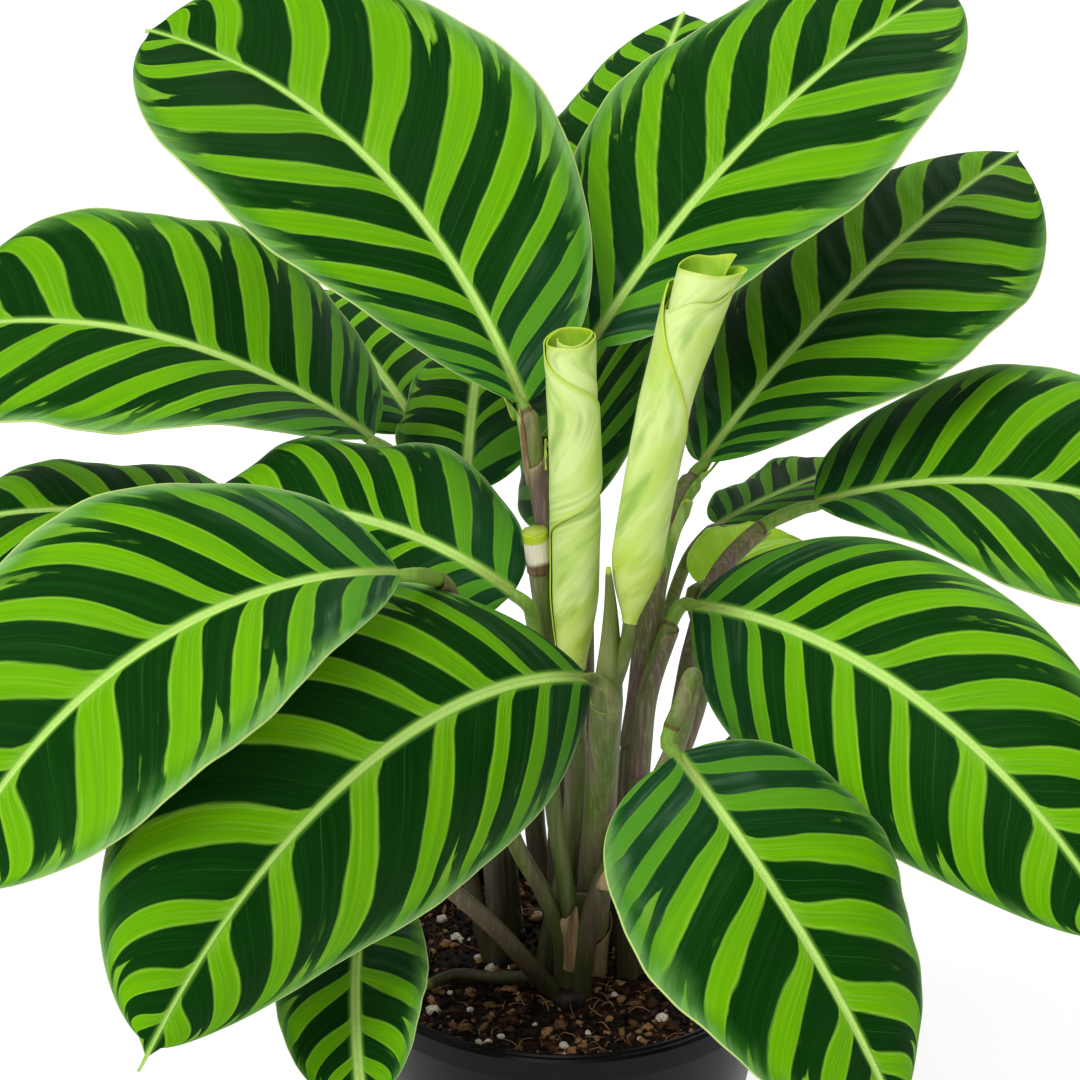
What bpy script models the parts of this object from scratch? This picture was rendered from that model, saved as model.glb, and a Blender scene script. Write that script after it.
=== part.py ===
"""Zebra calathea in its nursery pot, standing on a flat surface.

Metres, +Z up, origin in the middle of the pot's flat underside. The photograph is
taken from -Y and from above, with +X to its right. Sizes and places below are in
millimetres and degrees, and are turned into metres where a mesh is made.
"""
import math
from dataclasses import dataclass

import bmesh
import bpy
from mathutils import Vector, noise

MM = 0.001
GAP = 0.3                   # kept between pieces that touch

# Pot: a 17 cm nursery pot, cut off by the photograph a little below its rim.
RIM_RADIUS = 85.0
RIM_TOP = 132.0
RIM_DEPTH = 11.0
POT_WALL = 1.8
POT_FLOOR = 3.0
BASE_RADIUS = 60.0
SHOULDER_RADIUS = 81.0      # outside of the wall, just under the rim
POT_STEPS = 40
LIP_WIDTH = 4.6             # the rim's flat top, with its rounded edges
LIP_ROUND = 1.2
STEP_DROP = 5.5             # from the top down to the step in the rim's outside
STEP_IN = 1.8
BASE_ROUND = 1.5
POT_CREASE = 35.0           # edges sharper than this many degrees stay crisp
DRAIN_RADIUS = 5.0
DRAIN_CIRCLE = 40.0
DRAIN_COUNT = 6
DRAIN_SIDES = 12
CUT_PAST = 2.0              # how far a cutter reaches past what it cuts

# Soil: stands a little below the rim and sinks towards the crown of the plant.
SOIL_EDGE = 120.0
SOIL_CROWN = 116.5
SOIL_LUMP = 1.6
LUMP_SIZE = 13.0
SOIL_STEPS = 32
SOIL_RINGS = 6

# Crown: each shoot has a foot that stands in a plain round hole in the soil.
FOOT_BOTTOM = 97.0
FOOT_TOP = 124.0
FOOT_SIDES = 14
FOOT_TAPER = 0.72           # radius at the top, as a share of that at the bottom
SHOOT_CREASE = 50.0

# Blades: one sheet with a keel under its midrib.
BLADE_THICK = 0.8
KEEL_THICK = 3.0
KEEL_FADE = 0.65            # share of the keel that is lost on the way to the tip
KEEL_HALF = 0.05            # share of the half width that the keel takes
TIP_POWER = 0.62            # the outline's fullness towards the tip
TAIL_HALF = 1.2             # half width of the drip tip
WAVE_COUNT = 2.6            # waves along each edge
FIRST_STATION = 0.0008
LAST_STATION = 0.996
BEND_STEPS = 60             # steps in which a whole midrib is bent
STALK_END = 2.3             # radius of a stalk where it meets its blade
STALK_LEAD = 6.0            # straight length in line with the blade
NECK_GROWTH = 0.4           # how much thicker a stalk's bare length is at its lower end
CURVE_SAMPLES = 2           # points that a smooth curve gets between two route points
WELD = 0.01                 # points closer than this become one


@dataclass
class Blade:
    """An open leaf: where its stalk ends, where it heads and how it bends."""
    name: str
    base: tuple
    heading: float          # from above, 0 along +X, 90 along +Y
    rise: float             # above level, at the base
    roll: float             # plus lifts the left half
    length: float
    width: float
    arch: float             # how far the rise has dropped at the tip
    sweep: float = 0.0      # how far the heading has turned at the tip
    fold: float = 15.0      # how far each half stands up at the midrib
    droop: float = 40.0     # how far each half has bent back at the edge
    twist: float = 0.0      # how far the roll has changed at the tip
    left_power: float = 0.5     # the left half's fullness towards the base
    right_power: float = 0.5
    wave: float = 2.5
    phase: float = 0.0
    tail: float = 4.0       # length of the drip tip
    rows: int = 12
    columns: int = 8
    colour: tuple = (0.03, 0.16, 0.03)


BLADES = [
    Blade("leaf_top_left", (-16, -4, 364), heading=132, rise=57, roll=-18, length=220,
          width=138, arch=51, sweep=19, fold=23, droop=19, twist=-5, left_power=0.86,
          right_power=0.64, phase=0.1),
    Blade("leaf_top_right", (9, 31, 374), heading=45, rise=43, roll=6, length=220,
          width=127, arch=28, sweep=-6, fold=20, droop=30, twist=6, left_power=0.55,
          right_power=0.65, phase=0.55),
    Blade("leaf_top_back", (10, 84, 361), heading=73, rise=47, roll=-10, length=182,
          width=104, arch=36, sweep=4, fold=13, droop=47, phase=0.3, rows=10, columns=6),
    Blade("leaf_right_upper", (53, 45, 321), heading=44, rise=37, roll=-9, length=213,
          width=121, arch=29, sweep=5, fold=11, droop=51, twist=26, left_power=0.55,
          right_power=0.75, phase=0.8),
    Blade("leaf_left_upper", (-75, 50, 329), heading=158, rise=29, roll=-6, length=210,
          width=132, arch=51, sweep=-3, fold=20, droop=29, twist=-31, left_power=0.8,
          right_power=0.6, wave=3.5, phase=0.23),
    Blade("leaf_left_back", (-118, 60, 278), heading=173, rise=20, roll=-8, length=164,
          width=98, arch=46, phase=0.6, rows=10, columns=6),
    Blade("leaf_left_front", (-59, -94, 336), heading=207, rise=13, roll=-17, length=203,
          width=120, arch=68, sweep=15, fold=23, droop=25, twist=-9, left_power=0.75,
          right_power=0.55, phase=0.15),
    Blade("leaf_front_left", (8, -46, 272), heading=232, rise=25, roll=-53, length=252,
          width=129, arch=73, sweep=-2, fold=10, droop=56, twist=-12, right_power=0.68,
          phase=0.45, tail=9.0),
    Blade("leaf_left_inner", (-20, -29, 299), heading=160, rise=32, roll=-33, length=144,
          width=91, arch=58, fold=13, droop=44, twist=7, right_power=0.48, wave=5.0,
          phase=0.38, rows=10, columns=6),
    Blade("leaf_back_left", (-39, 60, 302), heading=88, rise=32, roll=-21, length=140,
          width=78, arch=43, sweep=-4, fold=13, droop=47, phase=0.9, rows=10, columns=6),
    Blade("leaf_far_left", (-60, 150, 292), heading=118, rise=22, roll=0, length=160,
          width=90, arch=35, sweep=-8, phase=0.25, rows=10, columns=6),
    Blade("leaf_back_middle", (4, 70, 288), heading=86, rise=39, roll=-51, length=165,
          width=98, arch=35, fold=17, left_power=0.33, phase=0.5, rows=10, columns=6),
    Blade("leaf_hanging_small", (-74, -86, 199), heading=264, rise=-9, roll=21, length=91,
          width=59, arch=28, sweep=16, fold=22, droop=27, wave=1.5, phase=0.0,
          rows=10, columns=6),
    Blade("leaf_front_right", (39, -98, 267), heading=313, rise=-33, roll=10, length=150,
          width=122, arch=28, sweep=13, fold=15, droop=41, twist=-7, left_power=0.45,
          right_power=0.4, wave=2.0, phase=0.65),
    Blade("leaf_right_front", (49, 8, 277), heading=318, rise=12, roll=46, length=221,
          width=121, arch=62, fold=8, droop=60, left_power=0.42, right_power=0.42,
          phase=0.2),
    Blade("leaf_right_side", (98, 56, 299), heading=0, rise=18, roll=13, length=210,
          width=130, arch=60, sweep=-6, fold=19, droop=32, twist=24, right_power=0.75,
          phase=0.85),
    Blade("leaf_back_right", (63, 100, 271), heading=40, rise=11, roll=-10, length=120,
          width=62, arch=22, fold=19, droop=34, phase=0.4, rows=10, columns=6),
    Blade("leaf_young_right", (53, 40, 271), heading=49, rise=17, roll=18, length=72,
          width=40, arch=43, wave=1.5, phase=0.75, rows=10, columns=6,
          colour=(0.35, 0.55, 0.05)),
    Blade("leaf_low_back_left", (-60, 62, 200), heading=120, rise=30, roll=-8, length=165,
          width=96, arch=50, phase=0.1, rows=10, columns=6),
    Blade("leaf_low_back_right", (88, 82, 200), heading=55, rise=25, roll=6, length=155,
          width=92, arch=48, phase=0.6, rows=10, columns=6),
]
BLADE = {blade.name: blade for blade in BLADES}


@dataclass
class Roll:
    """A young leaf still rolled up: its axis, from bottom to top, and its windings."""
    name: str
    axis: tuple             # points along the axis
    radii: tuple            # outer radius at those points
    edge_turn: float        # where the outer edge stands at the bottom and the top
    edge_wrap: float        # how much further round it reaches in between
    slant: float            # how much higher the top stands on one side
    high_side: float        # direction of that side


ROLLS = [
    Roll("rolled_leaf_left", axis=((2, -27, 267), (3, -24, 300), (3, -20, 340), (1, -13, 393)),
         radii=(5.5, 9.0, 9.6, 9.0), edge_turn=185, edge_wrap=190, slant=1.5, high_side=30),
    Roll("rolled_leaf_right",
         axis=((23, -36, 290), (26, -32, 318), (36, -21, 372), (50, -10, 419)),
         radii=(2.4, 9.5, 9.8, 13.0), edge_turn=300, edge_wrap=100, slant=7.0, high_side=20),
]
ROLL = {roll.name: roll for roll in ROLLS}
ROLL_THICK = 0.8
ROLL_TURNS = 1.45
ROLL_PITCH = 2.1            # how much a winding lies outside the last one
ROLL_CORE = 1.6             # the windings draw together where the roll is this slim
ROLL_SLANT = 6              # power that keeps the slant to the mouth of the roll
ROLL_ROWS = 9
ROLL_COLUMNS = 15


@dataclass
class Stalk:
    """A leaf stalk: the points it grows through, and its radius at the first and last."""
    route: tuple
    thick: float
    thin: float = STALK_END
    sheath: float = 0.0     # radius where its sheath ends
    bare: float = 0.0       # length above the sheath
    blade: str = ""         # the blade that it carries
    roll: str = ""          # the rolled leaf that it carries
    sides: int = 6


@dataclass
class Shoot:
    """Stalks that grow from one foot in the soil."""
    name: str
    foot: tuple
    foot_radius: float
    stalks: list
    colour: tuple = (0.22, 0.26, 0.10)


SHOOTS = [
    Shoot("shoot_front", (1, -13), 11.0, [
        Stalk(((-2, -13, 112), (-6, -15, 121), (-15, -24, 138), (-25, -34, 157),
               (-41, -52, 184), (-54, -66, 203), (-65, -73, 208)), 3.8,
              blade="leaf_hanging_small", sheath=3.2, bare=26),
        Stalk(((5, -13, 112), (9, -15.5, 150), (15, -20, 174), (25, -28, 200),
               (35, -37, 225), (42, -46, 249), (45, -56, 269), (45.5, -68, 283),
               (43.5, -80, 287), (40, -89, 281)), 4.4, blade="leaf_front_right",
              sheath=3.2, bare=34),
        Stalk(((1, -12, 112), (3, -13, 140), (0, -15, 168), (-5, -17, 205), (-8, -20, 242),
               (-11, -22, 269), (-13, -26, 289)), 3.6, blade="leaf_left_inner",
              sheath=3.2, bare=30),
        Stalk(((-1, -10, 112), (-2, -12, 144), (-9, -15, 165), (-19, -20, 188),
               (-29, -28, 225), (-33, -37, 262), (-36, -44, 280), (-38, -44, 290),
               (-41, -45, 301), (-44, -51, 312), (-49, -69, 323)), 3.5,
              blade="leaf_left_front", sheath=2.9, bare=40),
        Stalk(((-3, -12, 120), (-13, -10, 123.5), (-27, -9, 122.5), (-43, -7, 123),
               (-55, -15, 122.5)), 2.6, thin=2.2),
    ], colour=(0.30, 0.36, 0.16)),
    Shoot("shoot_main", (10, 8), 8.0, [
        Stalk(((10, 8, 112), (10, 4, 132), (11, -5, 162), (13, -16, 200), (14, -25, 232),
               (15, -31, 256)), 6.6, thin=6.2, sides=8),
        Stalk(((15, -31, 254), (16, -34, 277), (16, -36, 296), (15, -38, 313)), 6.2,
              thin=1.0, sides=8),
        Stalk(((13, -23, 232), (16, -33, 250), (17, -38, 261)), 3.2, blade="leaf_front_left"),
        Stalk(((15, -31, 256), (20, -34, 272)), 3.6, roll="rolled_leaf_right"),
    ], colour=(0.34, 0.36, 0.18)),
    Shoot("shoot_tall", (-9, 7), 7.5, [
        Stalk(((-8, 6, 112), (-6, 7, 130), (1, 8, 165), (4, 5, 200), (3, -1, 236),
               (-2, -6, 274), (-7, -8, 312), (-12, -8, 342)), 4.6, blade="leaf_top_left",
              sheath=3.9, bare=10),
        Stalk(((-8, 8, 112), (-4, 11, 132), (4, 14, 170), (7, 18, 217), (7, 22, 258),
               (6, 25, 306), (5, 26, 346)), 4.4, blade="leaf_top_right",
              sheath=3.8, bare=16),
        Stalk(((4, 0, 225), (-2, -9, 256), (-8, -14, 285), (-12, -17, 319)), 4.2, thin=4.2),
        Stalk(((4, 0, 225), (4, -13, 246)), 3.8, thin=3.4, roll="rolled_leaf_left"),
    ], colour=(0.26, 0.27, 0.13)),
    Shoot("shoot_right", (27, 4), 7.0, [
        Stalk(((27, 4, 112), (25, 4, 140), (24, 4, 175), (26, 5, 213), (29, 7, 238),
               (31, 10, 261), (34, 16, 284), (41, 27, 307)), 6.2, blade="leaf_right_upper",
              sheath=5.2, bare=30),
        Stalk(((27, 3, 185), (29, -1, 224), (31, -2, 244), (36, 2, 260), (41, 9, 271)), 4.4,
              blade="leaf_right_front", sheath=3.4, bare=16),
    ], colour=(0.25, 0.17, 0.13)),
    Shoot("shoot_far_right", (38, 20), 6.0, [
        Stalk(((38, 20, 112), (38, 19, 150), (40, 16, 185), (43, 16, 210), (46, 19, 232),
               (50, 26, 252), (59, 38, 276), (76, 49, 291)), 4.6, blade="leaf_right_side",
              sheath=3.2, bare=24),
        Stalk(((42, 16, 200), (49, 19, 218), (54, 23, 238), (52, 30, 257)), 3.4,
              blade="leaf_young_right"),
    ], colour=(0.25, 0.20, 0.12)),
    Shoot("shoot_back_right", (19, 27), 6.0, [
        Stalk(((19, 27, 112), (22, 32, 150), (30, 45, 200), (39, 60, 240), (49, 82, 262)), 3.8,
              blade="leaf_back_right"),
        Stalk(((19, 27, 112), (20, 29, 125), (33, 42, 150), (54, 60, 174), (74, 73, 191)), 3.8,
              blade="leaf_low_back_right"),
    ], colour=(0.22, 0.20, 0.11)),
    Shoot("shoot_back", (0, 26), 7.0, [
        Stalk(((0, 26, 112), (3, 32, 160), (6, 42, 220), (8, 50, 280), (8, 57, 325),
               (8, 67, 346)), 4.2, blade="leaf_top_back", sheath=3.2, bare=24),
        Stalk(((-1, 27, 116), (-4, 30, 128), (-12, 39, 165), (-10, 49, 225),
               (1, 58, 266)), 5.0,
              blade="leaf_back_middle"),
    ], colour=(0.22, 0.20, 0.11)),
    Shoot("shoot_left", (-27, 12), 7.0, [
        Stalk(((-27, 12, 112), (-28, 16, 150), (-34, 26, 210), (-43, 38, 270), (-53, 45, 305),
               (-62, 47, 319)), 4.4, blade="leaf_left_upper", sheath=3.4, bare=24),
        Stalk(((-27, 14, 116), (-26, 28, 170), (-32, 41, 230), (-37, 49, 275)), 3.8,
              blade="leaf_back_left"),
        Stalk(((-29, 12, 116), (-42, 22, 165), (-62, 36, 215), (-88, 52, 256)), 3.8,
              blade="leaf_left_back"),
    ], colour=(0.24, 0.24, 0.12)),
    Shoot("shoot_back_left", (-20, 32), 6.0, [
        Stalk(((-20, 32, 112), (-25, 46, 170), (-36, 78, 230), (-48, 116, 272)), 3.8,
              blade="leaf_far_left"),
        Stalk(((-20, 32, 112), (-21, 33, 125), (-33, 42, 154), (-47, 52, 183)), 3.8,
              blade="leaf_low_back_left"),
    ], colour=(0.22, 0.20, 0.11)),
]


def make_material(name, colour, roughness):
    """A plain Principled material."""
    material = bpy.data.materials.new(name)
    material.use_nodes = True
    shader = material.node_tree.nodes["Principled BSDF"]
    shader.inputs["Base Color"].default_value = (*colour, 1.0)
    shader.inputs["Roughness"].default_value = roughness
    shader.inputs["Metallic"].default_value = 0.0
    return material


def place(name, mesh, material=None, folder=None):
    """Puts a mesh in the scene as an object."""
    thing = bpy.data.objects.new(name, mesh)
    (folder or parts).objects.link(thing)
    if material:
        mesh.materials.clear()
        mesh.materials.append(material)
    return thing


def evaluated_mesh(thing):
    """The mesh that an object's modifiers or curve settings make."""
    graph = bpy.context.evaluated_depsgraph_get()
    return bpy.data.meshes.new_from_object(thing.evaluated_get(graph))


def metres(point):
    return Vector(point) * MM


def hermite(start, lead_in, stop, lead_out, t):
    """Point at t on a smooth curve with a given direction at both its ends."""
    return ((2 * t ** 3 - 3 * t ** 2 + 1) * start + (t ** 3 - 2 * t ** 2 + t) * lead_in
            + (3 * t ** 2 - 2 * t ** 3) * stop + (t ** 3 - t ** 2) * lead_out)


def smooth_route(points):
    """Points on a smooth curve through the given ones."""
    points = [Vector(point) for point in points]
    ends = [2 * points[0] - points[1]] + points + [2 * points[-1] - points[-2]]
    route = [points[0]]
    for before, start, stop, after in zip(ends, ends[1:], ends[2:], ends[3:]):
        reach = (stop - start).length
        lead_in = (stop - before).normalized() * reach
        lead_out = (after - start).normalized() * reach
        for step in range(1, CURVE_SAMPLES + 1):
            route.append(hermite(start, lead_in, stop, lead_out, step / CURVE_SAMPLES))
    return route


def half_width(blade, s, v):
    """Width of the half that v lies on: 0 at both ends of the blade."""
    if s > 1:
        return TAIL_HALF
    power = blade.left_power if v > 0 else blade.right_power
    widest = power / (power + TIP_POWER)
    fullness = (s / widest) ** power * ((1 - s) / (1 - widest)) ** TIP_POWER
    return blade.width / 2 * fullness


def blade_direction(blade, s):
    """Heading and rise of the midrib, in radians, at share s of its length."""
    return (math.radians(blade.heading + blade.sweep * s),
            math.radians(blade.rise - blade.arch * s))


def along(heading, rise):
    return Vector((math.cos(rise) * math.cos(heading), math.cos(rise) * math.sin(heading),
                   math.sin(rise)))


def blade_frames(blade, stations):
    """Midrib point, left-hand direction and upper side at each station."""
    frames = []
    point = Vector(blade.base)
    reached = 0.0
    for s in stations:
        pieces = max(1, round((s - reached) * BEND_STEPS))
        step = (s - reached) / pieces
        for piece in range(pieces):
            middle = reached + (piece + 0.5) * step
            point = point + along(*blade_direction(blade, middle)) * step * blade.length
        reached = s
        heading, rise = blade_direction(blade, s)
        forward = along(heading, rise)
        level_up = Vector((-math.sin(rise) * math.cos(heading),
                           -math.sin(rise) * math.sin(heading), math.cos(rise)))
        level_left = level_up.cross(forward)
        roll = math.radians(blade.roll + blade.twist * s)
        left = math.cos(roll) * level_left + math.sin(roll) * level_up
        up = math.cos(roll) * level_up - math.sin(roll) * level_left
        frames.append((point, left, up))
    return frames


def blade_section(blade, s, v):
    """Offset to the left and upwards of the point at share v of the half width."""
    half = half_width(blade, s, v)
    fold = math.radians(blade.fold)
    droop = math.radians(blade.droop)
    bent = droop * abs(v)
    side = (math.sin(fold) - math.sin(fold - bent)) / droop * half
    lift = (math.cos(fold - bent) - math.cos(fold)) / droop * half
    shift = blade.phase + (0.5 if v > 0 else 0.0)
    ends = math.sin(math.pi * min(max(s, 0.0), 1.0)) ** 0.7
    lift += blade.wave * ends * abs(v) ** 3 * math.sin(2 * math.pi * (WAVE_COUNT * s + shift))
    return math.copysign(side, v), lift


def blade_columns(count):
    """Shares of the half width for the columns: the keel's two edges and even steps."""
    half = count // 2
    steps = [KEEL_HALF + (1 - KEEL_HALF) * k / (half - 1) for k in range(half)]
    return [-v for v in reversed(steps)] + [0.0] + steps


def blade_stations(blade):
    """Shares of the length for the rows, closer together at the ends, and the drip tip."""
    rows = blade.rows - 1
    turn = [0.5 - 0.5 * math.cos(math.pi * k / rows) for k in range(rows + 1)]
    main = [FIRST_STATION + (LAST_STATION - FIRST_STATION) * t for t in turn]
    return main + [1.0 + blade.tail / blade.length]


def make_blade(blade):
    """The blade as a grid laid along its midrib, split into triangles, with a thickness."""
    columns = blade_columns(blade.columns)
    stations = blade_stations(blade)
    frames = blade_frames(blade, stations)
    sheet = bmesh.new()
    bmesh.ops.create_grid(sheet, x_segments=len(columns) - 1, y_segments=len(stations) - 1,
                          size=1.0)
    keel = []
    for vertex in sheet.verts:
        column = round((vertex.co.x + 1) / 2 * (len(columns) - 1))
        row = round((vertex.co.y + 1) / 2 * (len(stations) - 1))
        s, v = stations[row], -columns[column]
        point, left, up = frames[row]
        side, lift = blade_section(blade, s, v)
        vertex.co = (point + left * side + up * lift) * MM
        keel.append(1.0 - KEEL_FADE * min(s, 1.0) if v == 0 else 0.0)
    bmesh.ops.triangulate(sheet, faces=sheet.faces[:], quad_method="FIXED")
    mesh = bpy.data.meshes.new(blade.name)
    sheet.to_mesh(mesh)
    sheet.free()
    thing = place(blade.name, mesh, make_material(blade.name, blade.colour, 0.45))
    group = thing.vertex_groups.new(name="keel")
    for index, weight in enumerate(keel):
        group.add([index], weight, "REPLACE")
    solid = thing.modifiers.new("thickness", "SOLIDIFY")
    solid.thickness = KEEL_THICK * MM
    solid.offset = -1.0
    solid.vertex_group = "keel"
    solid.thickness_vertex_group = BLADE_THICK / KEEL_THICK
    mesh.shade_smooth()


def axis_point(points, share):
    """Point at a share of a smooth axis through the given points."""
    place_on = share * (len(points) - 1)
    index = min(int(place_on), len(points) - 2)
    before = points[max(index - 1, 0)]
    start, stop = points[index], points[index + 1]
    after = points[min(index + 2, len(points) - 1)]
    return hermite(start, (stop - before) / 2, stop, (after - start) / 2, place_on - index)


def between(values, share):
    """Value at a share along an evenly spaced list, eased from one to the next."""
    place_on = share * (len(values) - 1)
    index = min(int(place_on), len(values) - 2)
    t = place_on - index
    t = t * t * (3 - 2 * t)
    return values[index] * (1 - t) + values[index + 1] * t


def make_roll(roll):
    """A sheet wound round its axis, each winding outside the last, open at the top."""
    points = [Vector(point) for point in roll.axis]
    forward = (points[-1] - points[0]).normalized()
    across = Vector((1, 0, 0))
    across = (across - forward * across.dot(forward)).normalized()
    behind = forward.cross(across)
    sheet = bmesh.new()
    bmesh.ops.create_grid(sheet, x_segments=ROLL_COLUMNS, y_segments=ROLL_ROWS, size=1.0)
    for vertex in sheet.verts:
        inward = 1 - (vertex.co.x + 1) / 2
        share = min(1.0, max(0.0, (vertex.co.y + 1) / 2))
        outer = between(roll.radii, share)
        edge = roll.edge_turn + roll.edge_wrap * math.sin(math.pi * share) ** 2
        turn = math.radians(edge - 360 * ROLL_TURNS * inward)
        tight = min(1.0, (outer - ROLL_CORE) / (ROLL_PITCH * ROLL_TURNS + 1.0))
        radius = outer - ROLL_PITCH * ROLL_TURNS * inward * tight
        out = across * math.cos(turn) + behind * math.sin(turn)
        slant = math.cos(turn - math.radians(roll.high_side)) * roll.slant * share ** ROLL_SLANT
        vertex.co = (axis_point(points, share) + out * radius + forward * slant) * MM
    bmesh.ops.triangulate(sheet, faces=sheet.faces[:], quad_method="FIXED")
    mesh = bpy.data.meshes.new(roll.name)
    sheet.to_mesh(mesh)
    sheet.free()
    thing = place(roll.name, mesh, make_material(roll.name, (0.45, 0.62, 0.16), 0.45))
    solid = thing.modifiers.new("thickness", "SOLIDIFY")
    solid.thickness = ROLL_THICK * MM
    solid.offset = 1.0
    mesh.shade_smooth()


def make_tube(name, points, radii, sides, folder):
    """A closed tube through the points, with its own radius at each of them."""
    curve = bpy.data.curves.new(name, "CURVE")
    curve.dimensions = "3D"
    curve.bevel_depth = MM
    curve.bevel_resolution = sides // 2 - 2
    curve.use_fill_caps = True
    line = curve.splines.new("POLY")
    line.points.add(len(points) - 1)
    for knot, point, radius in zip(line.points, points, radii):
        knot.co = (*metres(point), 1.0)
        knot.radius = radius
    guide = bpy.data.objects.new(name, curve)
    bpy.context.scene.collection.objects.link(guide)
    mesh = evaluated_mesh(guide)
    bpy.data.objects.remove(guide)
    weld = bmesh.new()
    weld.from_mesh(mesh)
    bmesh.ops.remove_doubles(weld, verts=weld.verts[:], dist=WELD * MM)
    bmesh.ops.recalc_face_normals(weld, faces=weld.faces[:])
    weld.to_mesh(mesh)
    weld.free()
    return place(name, mesh, folder=folder)


def make_cylinder(name, centre, radius, bottom, top, sides, folder, taper=1.0):
    """An upright cylinder, or a cone whose top is narrower by the taper."""
    body = bmesh.new()
    bmesh.ops.create_cone(body, cap_ends=True, segments=sides, radius1=radius * MM,
                          radius2=radius * taper * MM, depth=(top - bottom) * MM)
    bmesh.ops.translate(body, verts=body.verts[:],
                        vec=metres((centre[0], centre[1], (top + bottom) / 2)))
    mesh = bpy.data.meshes.new(name)
    body.to_mesh(mesh)
    body.free()
    return place(name, mesh, folder=folder)


def stalk_points(stalk):
    """The stalk's route, led straight into the base of what it carries."""
    route = list(stalk.route)
    if stalk.blade:
        blade = BLADE[stalk.blade]
        base = Vector(blade.base)
        forward = along(*blade_direction(blade, 0.0))
        route += [base - forward * STALK_LEAD, base - forward * GAP]
    if stalk.roll:
        low, next_up = (Vector(point) for point in ROLL[stalk.roll].axis[:2])
        forward = (next_up - low).normalized()
        route += [low - forward * STALK_LEAD, low - forward * (GAP + ROLL_THICK)]
    return smooth_route(route)


def stalk_radii(stalk, points):
    """Radius at each point: thick in the sheath, and thin in the bare length above it."""
    left = [0.0]
    for first, second in zip(points[::-1], points[-2::-1]):
        left.append(left[-1] + (second - first).length)
    left.reverse()
    whole = left[0]
    if not stalk.sheath:
        return [stalk.thin + (stalk.thick - stalk.thin) * rest / whole for rest in left]
    radii = []
    for rest in left:
        if rest > stalk.bare:
            share = (rest - stalk.bare) / (whole - stalk.bare)
            radii.append(stalk.sheath + (stalk.thick - stalk.sheath) * share)
        else:
            radii.append(stalk.thin + NECK_GROWTH * rest / stalk.bare)
    return radii


def make_shoot(shoot):
    """A foot and its stalks, joined in one body."""
    joined = bpy.data.collections.new(shoot.name + "_stalks")
    bpy.context.scene.collection.children.link(joined)
    for number, stalk in enumerate(shoot.stalks):
        points = stalk_points(stalk)
        make_tube(f"{shoot.name}_{number}", points, stalk_radii(stalk, points), stalk.sides,
                  joined)
    foot = make_cylinder(shoot.name, shoot.foot, shoot.foot_radius, FOOT_BOTTOM, FOOT_TOP,
                         FOOT_SIDES, parts, taper=FOOT_TAPER)
    union = foot.modifiers.new("stalks", "BOOLEAN")
    union.operation = "UNION"
    union.operand_type = "COLLECTION"
    union.collection = joined
    whole = evaluated_mesh(foot)
    foot.modifiers.clear()
    for piece in list(joined.objects):
        bpy.data.objects.remove(piece)
    bpy.data.collections.remove(joined)
    whole.materials.clear()
    whole.materials.append(make_material(shoot.name, shoot.colour, 0.5))
    whole.shade_smooth()
    whole.set_sharp_from_angle(angle=math.radians(SHOOT_CREASE))
    foot.data = whole


def make_turned(name, profile, steps, material):
    """A profile of radius and height, turned round the upright axis."""
    mesh = bpy.data.meshes.new(name)
    line = bmesh.new()
    dots = [line.verts.new(metres((radius, 0, height))) for radius, height in profile]
    for first, second in zip(dots, dots[1:]):
        line.edges.new((first, second))
    line.to_mesh(mesh)
    line.free()
    thing = place(name, mesh, material)
    screw = thing.modifiers.new("turn", "SCREW")
    screw.steps = steps
    screw.render_steps = steps
    screw.use_merge_vertices = True
    screw.merge_threshold = WELD * MM
    return thing


def make_pot():
    """Thin moulded wall, a rolled rim in two steps, and a floor with drain holes."""
    wall_under_rim = RIM_TOP - RIM_DEPTH
    profile = [
        (0, POT_FLOOR), (BASE_RADIUS - POT_WALL, POT_FLOOR),
        (SHOULDER_RADIUS - POT_WALL, wall_under_rim),
        (RIM_RADIUS - LIP_WIDTH - LIP_ROUND / 2, RIM_TOP - LIP_ROUND),
        (RIM_RADIUS - LIP_WIDTH, RIM_TOP), (RIM_RADIUS - LIP_ROUND, RIM_TOP),
        (RIM_RADIUS, RIM_TOP - LIP_ROUND), (RIM_RADIUS, RIM_TOP - STEP_DROP),
        (RIM_RADIUS - STEP_IN, RIM_TOP - STEP_DROP - STEP_IN / 2),
        (RIM_RADIUS - STEP_IN, wall_under_rim), (SHOULDER_RADIUS, wall_under_rim - STEP_IN / 2),
        (BASE_RADIUS, BASE_ROUND), (BASE_RADIUS - BASE_ROUND, 0), (0, 0),
    ]
    pot = make_turned("pot", profile, POT_STEPS, make_material("pot", (0.02, 0.02, 0.022), 0.4))
    for number in range(DRAIN_COUNT):
        turn = 2 * math.pi * number / DRAIN_COUNT
        centre = (DRAIN_CIRCLE * math.cos(turn), DRAIN_CIRCLE * math.sin(turn))
        make_cylinder(f"drain_cutter_{number}", centre, DRAIN_RADIUS, -CUT_PAST,
                      POT_FLOOR + CUT_PAST, DRAIN_SIDES, drains)
    cut = pot.modifiers.new("drain_holes", "BOOLEAN")
    cut.operation = "DIFFERENCE"
    cut.operand_type = "COLLECTION"
    cut.collection = drains
    pot.data.shade_smooth()
    pot.data.set_sharp_from_angle(angle=math.radians(POT_CREASE))


def soil_height(x, y, edge_radius):
    """Height of the soil: lower at the crown, with lumps that die out at the wall."""
    share = min(1.0, math.hypot(x, y) / edge_radius)
    level = SOIL_CROWN + (SOIL_EDGE - SOIL_CROWN) * share ** 2
    lump = noise.noise(Vector((x / LUMP_SIZE, y / LUMP_SIZE, 0.4)))
    return level + SOIL_LUMP * lump * (1 - share ** 4)


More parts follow.
